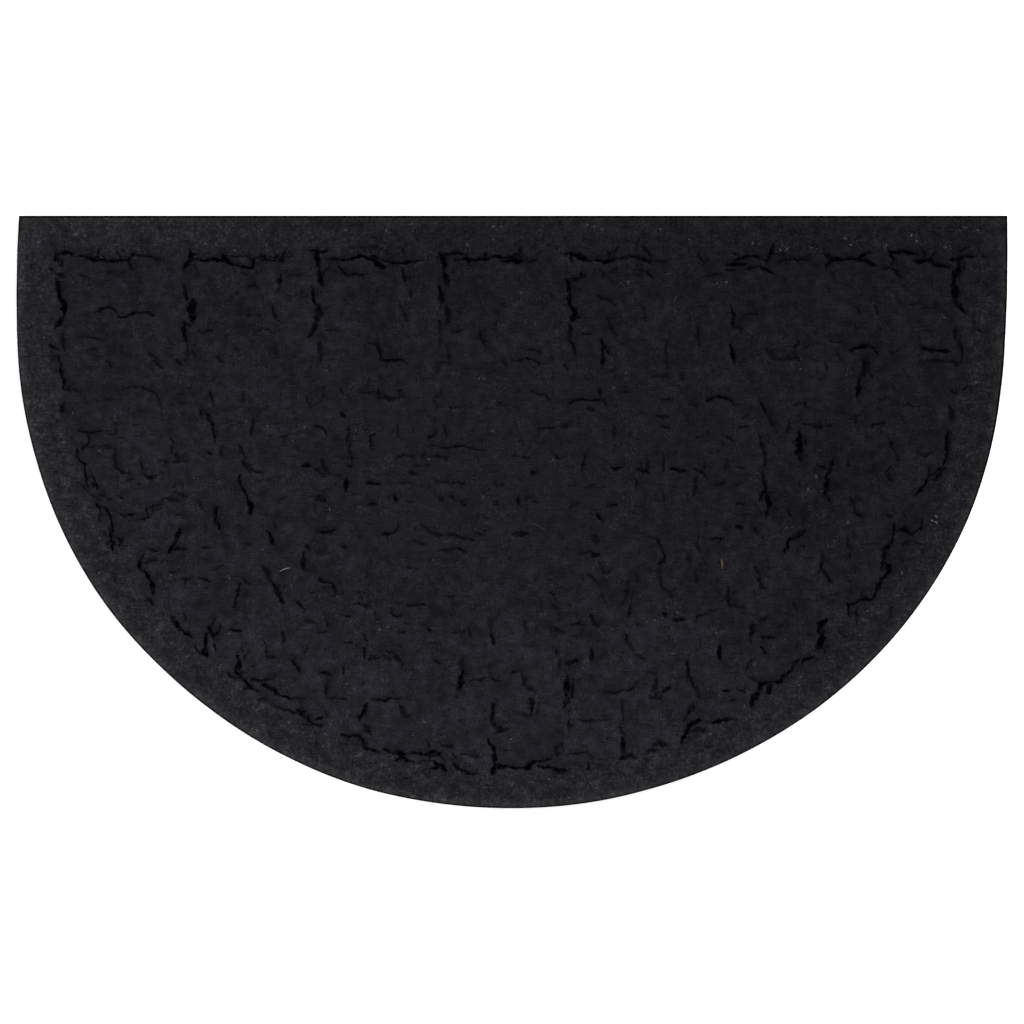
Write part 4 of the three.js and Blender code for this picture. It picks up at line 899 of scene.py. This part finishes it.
def rubber_material():
    """Dull black rubber: dusty rim, soft mottling and a faint print of cloth, with painted shade in and
    beside the creases and on the edge, and painted light that falls off across the mat.
    """
    material, start, place = new_material("black_rubber_moulding")
    x = along_axis(start, place, "X")
    y = along_axis(start, place, "Y")
    rim = attribute(start, "rim")
    margin = attribute(start, "margin")

    # Noises: clouds, grain, threads that run each way, patches of weave, specks and wisps
    mottle = noise(start, place, 8.0, 3.0, (1, 1, 1), 0.6)
    grain = noise(start, place, 2.2, 1.0)
    level_threads = noise(start, place, 1.3, 0.0, (0.16, 1, 1))
    upright_threads = noise(start, place, 1.3, 0.0, (1, 0.16, 1))
    weave = noise(start, place, 17.0, 1.0)
    specks = noise(start, place, 1.1, 0.0)
    wisps = noise(start, place, 5.0, 1.0, (0.5, 1, 1))

    # Soft clouds, weaker in the middle, pale wisps, and grain on the rim
    from_middle = x * x * 33 + (y - 0.035) * (y - 0.035) * 170
    clouds = 1 + mottle.swing(0.3) * from_middle.between(0.6, 1.4, 0.65, 1)
    mottling = clouds * wisps.between(0.6, 0.78, 1, 1.35) * (1 + rim * grain.swing(0.25))

    # The print of cloth: threads that run one way or the other by the patch
    level_share = weave.between(0.42, 0.58, 0.25, 1)
    upright_share = weave.between(0.42, 0.58, 0.75, 0.1)
    worn_weave = mottle.between(0.4, 0.6, 0.5, 1.1)
    threads = 1 + level_threads.swing(0.2) * level_share * worn_weave
    threads = threads * (1 + upright_threads.swing(0.2) * upright_share * worn_weave)
    marks = level_threads.between(0.66, 0.74, 1, 0.6) * upright_threads.between(0.68, 0.76, 1, 0.6)

    # Painted light: the colour is painted darker from left to right and from the round side to the straight
    # edge, a falloff of light across the mat
    across = 1.03 - 0.6 * x + x.between(0.2, 0.35, 0, 0.1) * rim
    along = 0.92 - 0.55 * y + y.between(-0.15, -0.03, 0.2, 0) * (1 - rim)

    # Dust on the rim, thickest along the margin of the round side, and flecks all over
    top_rim = y.between(0.185, 0.2)
    dusting = rim * (1 - top_rim * x.between(-0.3, 0.0, -0.3, 1.2))
    bright_margin = margin.between(2.0, 9.0, 0.65, 0.0) * y.between(0.19, 0.22, 1, 0.2)
    bright_margin = bright_margin * (1 + x.between(-0.34, -0.2, 0.3, 0) * y.between(-0.02, 0.05, 1, 0))
    dusty_sides = y.between(-0.05, 0.1, 0, 0.1) * x.between(0.25, 0.35, 1, 0)
    dusty_sides = dusty_sides + y.between(-0.16, -0.08, 0.17, 0) * x.between(0.0, 0.1)
    dust = grain.between(0.5, 0.75) * mottle.between(0.45, 0.65, 0.2, 1)
    flecks = specks.between(0.66, 0.76) * weave.between(0.4, 0.6, 1, 0.2)
    corners = top_rim * (x * x).between(0.118, 0.135, 0, 0.4)
    dusty = 1 + dusting * (0.14 + 0.6 * dust) + bright_margin + corners + flecks * 1.2
    dusty = dusty + rim * dusty_sides

    # Creases: ragged troughs painted black as shade, painted soft shade on their shoulders and in the
    # hollows, and a pale lip that is partly dust and partly a painted highlight
    ragged = level_threads.between(0.25, 0.75, 0.75, 1.25) * upright_threads.between(0.25, 0.75, 0.75, 1.25)
    core = (attribute(start, "near") * ragged).between(0.17, 0.64) * attribute(start, "dark")
    painted_relief_shading = (1 - core) * (1 - attribute(start, "shade")) * (1 + 0.25 * attribute(start, "lip"))

    # Painted shade on the rounded edge: the very edge is painted dark, and black a little further in along
    # the straight side and far right
    black_edge = 1 - y.between(0.2, 0.22, 1, 0) * x.between(0.32, 0.37, 1, 0)
    painted_edge_shade = margin.between(0.7, 1.5) * (1 - black_edge * margin.between(1.0, 2.2, 1, 0))

    # All of these together, painted light and shade among them, in a black that turns browner on the rim
    # and at the edge
    tone = mottling * threads * marks * across * along * dusty * painted_relief_shading * painted_edge_shade
    height = mottle * 0.6 + grain * 0.15 + level_threads * 0.08 + upright_threads * 0.08
    black = (0.0078, 0.0074, 0.0090)
    grey = (0.0081, 0.0082, 0.0075)
    greyness = rim * 0.1 + margin.between(5, 8, 0.85, 0) * (0.55 + 0.35 * black_edge)
    greyness = greyness + x.between(0.29, 0.33) * y.between(0.1, 0.13, 0, 0.5) * (1 - rim)
    inputs = {"Factor": greyness, 4: black, 5: grey}
    colour = start.add("ShaderNodeMix", {"data_type": "VECTOR"}, inputs, 1)
    inputs = {0: tone.tint(colour), 1: (0, 0, 0.0007)}
    shaded = start.add("ShaderNodeVectorMath", {"operation": "ADD"}, inputs)
    finish_material(start, shaded, 0.9, 0.01, height, 0.45)
    return material


rubber = make_rubber()
rubber.data.materials.append(rubber_material())
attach(rubber, "root")
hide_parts("rubber_back")


# Dust and flakes
# Pale crumbs of dried mud and coir dust, which lie loose on the back, most of them on the rim and
# in rough patches of the lower half.

# The larger flakes: where each lies, its size across and up, and how pale it is
large_flakes = [
    # x, y, across, up, pale
    (-306, 215, 3, 1.6, 1), (-300, 215, 3, 1.4, 1), (-330, 210, 6, 4, 0.8), (-323, 209, 3, 3, 0.7),
    (-334, 204, 2, 2, 0.9), (-300, 202, 3, 1.4, 1), (-311, 193, 2, 3, 1), (-283, 198, 3, 1.6, 0.9),
    (-286, 220, 3, 1.4, 0.9), (-256, 213, 2, 2, 0.7), (-232, 203, 3, 2.4, 1), (-224, 202, 1, 4, 1),
    (-210, 198, 4, 1.6, 1), (-186, 202, 3, 4, 0.5), (-151, 208, 2, 2, 0.9), (-161, 207, 2, 3, 0.6),
    (-126, 213, 5, 3, 0.6), (-95, 213, 4, 3, 0.7), (-76, 218, 2, 4, 0.7), (-75, 212, 2, 2, 0.8),
    (-34, 202, 2, 3.4, 1), (-14, 216, 6, 3, 0.6), (-8, 216, 2, 3, 0.8), (-14, 206, 3, 1.4, 0.7),
    (21, 213, 3, 1.4, 0.8), (57, 217, 3, 2, 1), (62, 216, 2.4, 2.4, 1), (68, 214, 4, 3, 0.5),
    (112, 214, 3, 2.6, 0.7), (134, 206, 3, 2, 0.7), (182, 203, 3, 3, 0.8), (187, 203, 1.4, 3, 0.8),
    (203, 198, 3, 3, 0.8), (208, 199, 2.6, 3.6, 1), (226, 200, 3, 1.4, 0.7), (252, 207, 3, 4, 0.7),
    (256, 202, 5, 1.6, 0.9), (283, 202, 3, 1.6, 0.9), (302, 209, 3, 4, 0.8), (306, 205, 2.6, 3.6, 1),
    (328, 200, 4, 1.6, 0.8), (343, 215, 6, 2, 0.6), (352, 213, 5, 1.4, 0.8), (327, 147, 1.4, 1.8, 1),
    (155, 173, 2, 4, 0.6), (162, 174, 2.6, 3, 0.8), (7, 166, 1.4, 2.4, 1), (88, 174, 5, 5, 0.35),
    (-352, 144, 2, 5, 0.5), (-354, 132, 3, 2, 0.9), (-332, 174, 2, 3, 0.6), (-332, 75, 1.6, 4, 0.8),
    (-339, 53, 3, 3, 0.9), (-312, 46, 8, 2, 0.5), (-337, -5, 4, 4, 0.7), (-317, -11, 2.4, 4, 0.9),
    (-312, -20, 4, 3, 0.7), (-312, -46, 3, 2.6, 0.8), (-289, -33, 6, 1.4, 0.9), (-258, -48, 5, 1.6, 0.9),
    (-266, -52, 2, 4, 0.5), (-214, -50, 2.4, 2.4, 1), (-245, -109, 5, 1.6, 0.8), (-214, -92, 5, 2.4, 0.7),
    (-185, 65, 2, 3, 0.9), (-157, 64, 3, 2, 0.9), (-138, 2, 1.6, 4, 1), (-118, 62, 2.4, 2.4, 0.8),
    (-106, 60, 2.4, 1.6, 0.8), (-63, 40, 2.4, 2.4, 1), (-44, 105, 3, 3, 0.5), (-25, 101, 2.6, 4, 0.6),
    (-21, 101, 2, 4, 0.6), (-15, 61, 5, 1.6, 0.6), (-22, 11, 3, 1.6, 0.8), (-100, -89, 4, 3, 0.9),
    (-94, -87, 4, 2, 0.7), (-140, 107, 3, 3, 0.5), (31, 39, 1.4, 3, 1), (86, 105, 2, 3, 0.8),
    (77, 94, 5, 3, 0.4), (125, -76, 3, 3, 0.7), (102, -83, 2, 4, 0.6), (108, -82, 4, 3, 0.6),
    (154, -91, 2.6, 1.6, 1), (218, 108, 2, 2.4, 0.8), (253, 104, 2, 12, 0.5), (254, -8, 3, 5, 0.6),
    (224, 17, 3, 5, 0.5), (230, 27, 4, 5, 0.5), (351, 98, 3, 4, 0.7), (295, -46, 2, 6, 0.6),
    (292, -63, 3, 2, 0.8), (269, -75, 4, 2, 0.7), (277, -76, 3, 3, 0.6), (297, -78, 3, 2, 0.8),
    (263, -93, 5, 1.6, 0.7), (266, -104, 3, 1.4, 0.7), (183, -115, 2, 4, 0.8), (176, -147, 1.6, 4, 1),
    (218, -125, 4, 1.6, 0.8), (217, -131, 3, 2, 0.8), (238, -133, 3, 2, 0.9), (150, -168, 4, 4, 0.7),
    (145, -171, 2.6, 2, 0.8), (142, -184, 2, 3, 0.8), (119, -185, 2, 2, 0.8), (98, -201, 4, 2, 0.6),
    (64, -209, 3, 2, 1), (43, -216, 2.6, 1.8, 1), (46, -200, 4, 2.6, 0.6), (28, -202, 3, 3, 0.6),
    (-1, -172, 4, 2.4, 0.9), (-66, -159, 5, 2, 0.8), (-98, -127, 3, 1.6, 0.9), (-125, -130, 4, 2.4, 0.7),
    (-119, -134, 3, 2, 0.7), (-116, -184, 12, 3, 0.7), (-72, -192, 3, 2, 0.9), (-98, -191, 2, 4, 0.8),
    (-141, -168, 4, 3, 0.7), (-158, -167, 2, 3, 0.7), (-163, -166, 1.6, 3, 0.8), (-169, -159, 2.6, 3, 1),
    (-175, -162, 2, 4, 0.6), (-190, -148, 14, 3, 0.5), (-200, -144, 4, 2, 0.6), (-194, -143, 2, 2, 0.7),
    (-214, -140, 2, 3, 0.6), (-221, -117, 3, 7, 0.5), (-173, -128, 3, 2, 0.6),
]
# How much of a flake's blurred size in the photograph is the flake itself
flake_share = 0.7
flatness = 0.35
small_flake_count = 700

# Rough patches, thick with crumbs: the middle of each, and its size across and up
dusty_patches = [
    # x, y, across, up
    (-328, 210, 15, 8), (-303, 214, 12, 3), (-287, 220, 6, 3), (-229, 202, 15, 7), (-208, 197, 10, 4),
    (-337, 190, 10, 6), (-282, 197, 20, 5), (-259, 211, 8, 5), (-153, 210, 15, 7), (-174, 196, 10, 5),
    (-354, 124, 8, 20), (-360, 164, 7, 10), (-186, 139, 18, 7), (-262, 130, 9, 5), (-115, 212, 15, 6),
    (-76, 217, 10, 8), (-95, 212, 9, 5), (-12, 215, 10, 5), (-33, 202, 4, 5), (60, 216, 14, 6),
    (21, 211, 8, 5), (35, 198, 8, 4), (11, 143, 15, 5), (-22, 101, 10, 6), (7, 166, 3, 3), (87, 173, 12, 6),
    (-86, 140, 15, 10), (89, 106, 12, 7), (208, 203, 12, 11), (255, 206, 14, 11), (308, 207, 8, 9),
    (342, 212, 18, 7), (139, 205, 14, 5), (227, 198, 9, 4), (276, 203, 8, 5), (157, 173, 12, 5),
    (316, 130, 20, 5), (324, 147, 12, 5), (349, 99, 5, 10), (253, 97, 7, 14), (329, 203, 10, 5),
    (-340, 53, 5, 3), (-282, 62, 5, 17), (-313, 47, 12, 5), (-293, 24, 14, 18), (-265, -41, 24, 14),
    (-288, -32, 8, 3), (-184, 62, 4, 8), (-240, 56, 5, 3), (-215, 17, 12, 15), (-159, 62, 10, 5),
    (-174, 12, 8, 12), (-318, -11, 3, 3), (-268, 24, 4, 10), (-239, 12, 10, 8), (-214, -50, 5, 5),
    (-250, -21, 14, 10), (228, 14, 12, 14), (251, -24, 12, 10), (205, -12, 17, 12), (185, 29, 5, 28),
    (152, 47, 5, 28), (349, 77, 7, 12), (233, -3, 9, 5), (295, -60, 4, 5), (301, 71, 10, 7),
    (271, 23, 7, 5), (-95, -1, 10, 10), (1, 0, 12, 9), (91, 47, 5, 12), (-116, 3, 5, 5), (-107, 60, 5, 4),
    (-44, 77, 9, 5), (-22, 12, 4, 3), (34, 67, 4, 3), (-14, 62, 4, 3), (89, -1, 8, 10), (-100, -88, 12, 5),
    (-101, -117, 14, 14), (-123, -131, 18, 9), (-123, -104, 12, 14), (-119, -183, 14, 6),
    (-140, -167, 8, 6), (-169, -159, 3, 3), (-198, -144, 14, 6), (-186, -147, 14, 9), (-215, -92, 7, 5),
    (-243, -108, 10, 4), (-221, -117, 8, 5), (-70, -160, 10, 5), (-96, -190, 4, 6), (-73, -190, 4, 12),
    (-196, -79, 3, 3), (-191, -102, 5, 4), (-160, -190, 14, 5), (-52, -128, 7, 14), (-67, -159, 12, 5),
    (0, -171, 9, 3), (33, -113, 4, 10), (-22, -121, 8, 5), (104, -82, 12, 5), (92, -132, 8, 10),
    (64, -209, 3, 3), (44, -216, 3, 3), (26, -202, 14, 7), (-17, -209, 4, 3), (-39, -199, 8, 5),
    (97, -204, 20, 7), (59, -189, 10, 4), (-32, -151, 8, 5), (155, -92, 5, 5), (183, -116, 5, 10),
    (218, -126, 14, 10), (149, -170, 12, 7), (169, -152, 5, 5), (269, -75, 10, 6), (248, -82, 10, 14),
    (110, -132, 14, 12), (118, -185, 5, 4), (142, -185, 5, 4), (176, -147, 3, 5), (155, -82, 5, 4),
    (296, -77, 5, 4), (205, -145, 10, 5), (238, -74, 5, 4),
]
surface = BVHTree.FromObject(rubber, bpy.context.evaluated_depsgraph_get())


def height_at(x, y):
    """The height of the rubber at a place on the mat, in millimetres."""
    well_above = 30
    hit = surface.ray_cast(Vector((x, y, well_above)) * MM, Vector((0, 0, -1)))[0]
    return hit.z / MM


def crumbs():
    """Crumbs round every large flake and in every rough patch."""
    chance = np.random.default_rng(71)
    places = [(x, y, across + 1.4, up + 1.2, 4) for x, y, across, up, pale in large_flakes]
    places += [(x, y, across / 2, up / 2, 5 + int(across * up / 10)) for x, y, across, up in dusty_patches]
    flakes = []
    for x, y, wide, high, count in places:
        for crumb in range(count):
            size = chance.uniform(0.7, 1.5)
            flakes.append((x + wide * chance.normal(0, 0.55), y + high * chance.normal(0, 0.55),
                           size * chance.uniform(0.8, 1.5), size, chance.uniform(0.1, 0.75)))
    return [flake for flake in flakes if inside_outline(flake[0], flake[1], 3)]


def small_flakes():
    """Small flakes by chance, thickest on the rim and the lower half."""
    chance = np.random.default_rng(73)
    flakes = []
    while len(flakes) < small_flake_count:
        x = chance.uniform(-half_width, half_width)
        y = chance.uniform(rubber_low.y, rubber_high.y)
        if not inside_outline(x, y, 4):
            continue
        on_rim = not inside_outline(x, y, rim_width)
        share = 1.0 if on_rim else 0.3 if y < -20 else 0.15
        if chance.uniform() > share:
            continue
        size = 0.4 + 0.9 * chance.uniform() ** 2
        flakes.append((x, y, size * chance.uniform(0.7, 1.6), size, chance.uniform(0.05, 0.6) ** 1.2))
    return flakes


def flake_material():
    """Dry dust, from dark grey to pale grey by the flake."""
    material, start, place = new_material("dust_flakes")
    grain = noise(start, place, 0.8, 2.0)
    pale = attribute(start, "pale")
    tone = (0.009 + 0.012 * pale + 0.012 * pale * pale) * grain.between(0.3, 0.7, 0.8, 1.2)
    finish_material(start, tone.tint((1.0, 0.98, 1.02)), 0.95, 0.1, grain, 0.1)
    return material


def flake_tree(material):
    """A low rounded flake on every point, sized and turned by the point's own numbers."""
    start, size = geometry_tree("flakes", ("Flatness",))
    inputs = {"Radius": 0.5 * MM, "Subdivisions": 1}
    crumb = start.add("GeometryNodeMeshIcoSphere", None, inputs)
    named = {"data_type": "FLOAT_VECTOR"}
    spread = start.add("GeometryNodeInputNamedAttribute", named, {"Name": "size"})
    inputs = {axis: along_axis(start, spread, axis) for axis in "XY"}
    scale = start.add("ShaderNodeCombineXYZ", None, {**inputs, "Z": size["Flatness"]})
    turn = start.add("ShaderNodeCombineXYZ", None, {"Z": random_value(start, -0.5, 0.5, 79)})
    inputs = {"Points": size["Geometry"], "Instance": crumb, "Rotation": turn, "Scale": scale}
    flakes = start.add("GeometryNodeInstanceOnPoints", None, inputs)
    close_tree(start, flakes, material)
    return start


def make_flakes():
    """All the flakes as one piece."""
    flakes = large_flakes + crumbs() + small_flakes()
    points = [(x, y, height_at(x, y)) for x, y, across, up, pale in flakes]
    base = make_piece("flake_places", points, [])
    sizes = np.array([(across, up, 0) for x, y, across, up, pale in flakes], float) * flake_share
    base.data.attributes.new("size", "FLOAT_VECTOR", "POINT").data.foreach_set("vector", sizes.ravel())
    keep_number(base, "pale", np.array([flake[4] for flake in flakes], float))
    return grow("dust_flakes", base, flake_tree(flake_material()), {"Flatness": flatness})


flakes = make_flakes()
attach(flakes, "root")


# Loose fibres
# A few coir fibres and pale hairs shed by the mat, lying where they fell on the rubber.

fibre_colours = {
    "pale": (0.085, 0.083, 0.086),
    "grey": (0.022, 0.0215, 0.023),
    "tan": (0.075, 0.058, 0.038),
    "brown": (0.05, 0.03, 0.015),
    "pink": (0.05, 0.043, 0.042),
}

# Each row gives where a fibre starts, its run across and up, its bow, its thickness and its colour
fibres = [
    # x, y, across, up, bow, thickness, colour
    (-175.6, -44.9, 7.6, 2.6, 0.5, 1.1, "pale"),
    (12, -8, 13, -6, 1.0, 0.45, "grey"),
    (122, 158, 3, 6, 0.3, 0.6, "grey"),
    (158.2, -35.4, 0.5, -7.6, 0.3, 1.9, "brown"),
    (158.4, -36.6, 0.4, -5.2, 0.2, 1.3, "tan"),
    (319.3, -2.6, 2.4, -2.0, 0.3, 1.6, "pink"),
    (316.5, -5.6, 2.2, -1.6, -0.3, 1.6, "pink"),
    (319.2, -7.4, 2.4, -1.6, 0.3, 1.6, "pink"),
    (316.0, -9.0, 1.0, -0.8, 0.1, 1.0, "brown"),
]
fibre_sides = 6
fibre_steps = 10


def fibre_material(colour):
    """One loose fibre's colour, with fine streaks."""
    material, start, place = new_material(f"{colour}_fibre")
    streaks = noise(start, place, 0.6, 2.0)
    tone = streaks.between(0.3, 0.7, 0.75, 1.2)
    finish_material(start, tone.tint(fibre_colours[colour]), 0.8, 0.2, streaks, 0.1)
    return material


def make_fibre(number, fibre):
    """One bowed fibre that lies on the rubber, thinner towards its ends."""
    x, y, across, up, bow, thickness, colour = fibre
    share = np.linspace(0, 1, fibre_steps + 1)
    length = math.hypot(across, up)
    aside = bow * 4 * share * (1 - share)
    middle_x = x + across * share - up / length * aside
    middle_y = y + up * share + across / length * aside
    radius = thickness / 2 * (0.45 + 0.55 * np.sin(math.pi * np.clip(share, 0.05, 0.95)))
    height = np.array([height_at(px, py) for px, py in zip(middle_x, middle_y)]).max() + 0.3 * thickness
    turn = np.linspace(0, 2 * math.pi, fibre_sides, endpoint=False)
    points = []
    for step in range(fibre_steps + 1):
        out = radius[step] * np.cos(turn)
        ring = np.column_stack((middle_x[step] - up / length * out, middle_y[step] + across / length * out,
                                height + radius[step] * np.sin(turn)))
        points += ring.tolist()
    faces = [list(range(fibre_sides))[::-1]]
    for step in range(fibre_steps):
        faces += strip((step + 1) * fibre_sides, step * fibre_sides, fibre_sides)[:, ::-1].tolist()
    faces.append([fibre_steps * fibre_sides + side for side in range(fibre_sides)])
    piece = make_piece(f"loose_fibre_{number}", points, faces)
    piece.data.materials.append(fibre_material(colour))
    piece.data.shade_smooth()
    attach(piece, "root")
    return piece


loose_fibres = [make_fibre(number, fibre) for number, fibre in enumerate(fibres, 1)]


# Floor, light and camera
# A plain pale floor under soft suns from all sides, the strongest from the upper right, and a long
# lens straight above the middle of the mat.

frame_width = 774.35
camera_distance = 2600.0
sensor_width = 36.0
floor_reach = 6000
floor_level = -0.2
floor_white = 0.88
floor_glow = 0.3
sky_strength = 0.45


def make_floor():
    """A pale floor just below the cut fibres."""
    sides = ((-1, -1), (1, -1), (1, 1), (-1, 1))
    corners = [(floor_reach * across, floor_reach * up, floor_level) for across, up in sides]
    floor = make_piece("floor", corners, [(0, 1, 2, 3)])
    material, start = new_material("pale_floor")[:2]
    inputs = {"Base Color": (floor_white, floor_white, floor_white, 1), "Roughness": 0.9,
              "Specular IOR Level": 0.1, "Emission Color": (1, 1, 1, 1), "Emission Strength": floor_glow}
    shader = start.add("ShaderNodeBsdfPrincipled", None, inputs)
    start.add("ShaderNodeOutputMaterial", None, {"Surface": shader})
    floor.data.materials.append(material)


# Soft suns: the way each shines from, round and above the floor in degrees, and its strength
suns = [
    # azimuth, elevation, strength
    (50, 36, 3.2),
    (140, 55, 0.9),
    (230, 55, 0.9),
    (320, 55, 0.9),
]
# How wide each sun looks from the mat, in degrees, which softens its shadows
sun_spread = 35


def make_light():
    """The suns, and a low even light from the whole sky."""
    for azimuth, elevation, strength in suns:
        light = bpy.data.lights.new("soft_sun", "SUN")
        light.energy = strength
        light.angle = math.radians(sun_spread)
        sun = put_in_scene("soft_sun", light)
        turn = math.radians(azimuth)
        lift = math.radians(elevation)
        towards = Vector((math.cos(turn) * math.cos(lift), math.sin(turn) * math.cos(lift), math.sin(lift)))
        sun.rotation_mode = "QUATERNION"
        sun.rotation_quaternion = towards.to_track_quat("Z", "Y")
    world = bpy.data.worlds.new("even_sky")
    world.use_nodes = True
    background = world.node_tree.nodes["Background"]
    background.inputs["Color"].default_value = (1, 1, 1, 1)
    background.inputs["Strength"].default_value = sky_strength
    bpy.context.scene.world = world


def make_camera():
    """A camera straight above, whose long lens takes in the photograph's width at the mat's top."""
    lens = bpy.data.cameras.new("camera")
    lens.sensor_width = sensor_width
    lens.lens = sensor_width * (camera_distance - rubber_high.z) / frame_width
    lens.clip_end = 100
    camera = put_in_scene("camera", lens)
    camera.location = Vector((0, 0, camera_distance)) * MM
    bpy.context.scene.camera = camera


make_floor()
make_light()
make_camera()
bpy.context.scene.view_settings.view_transform = "Standard"
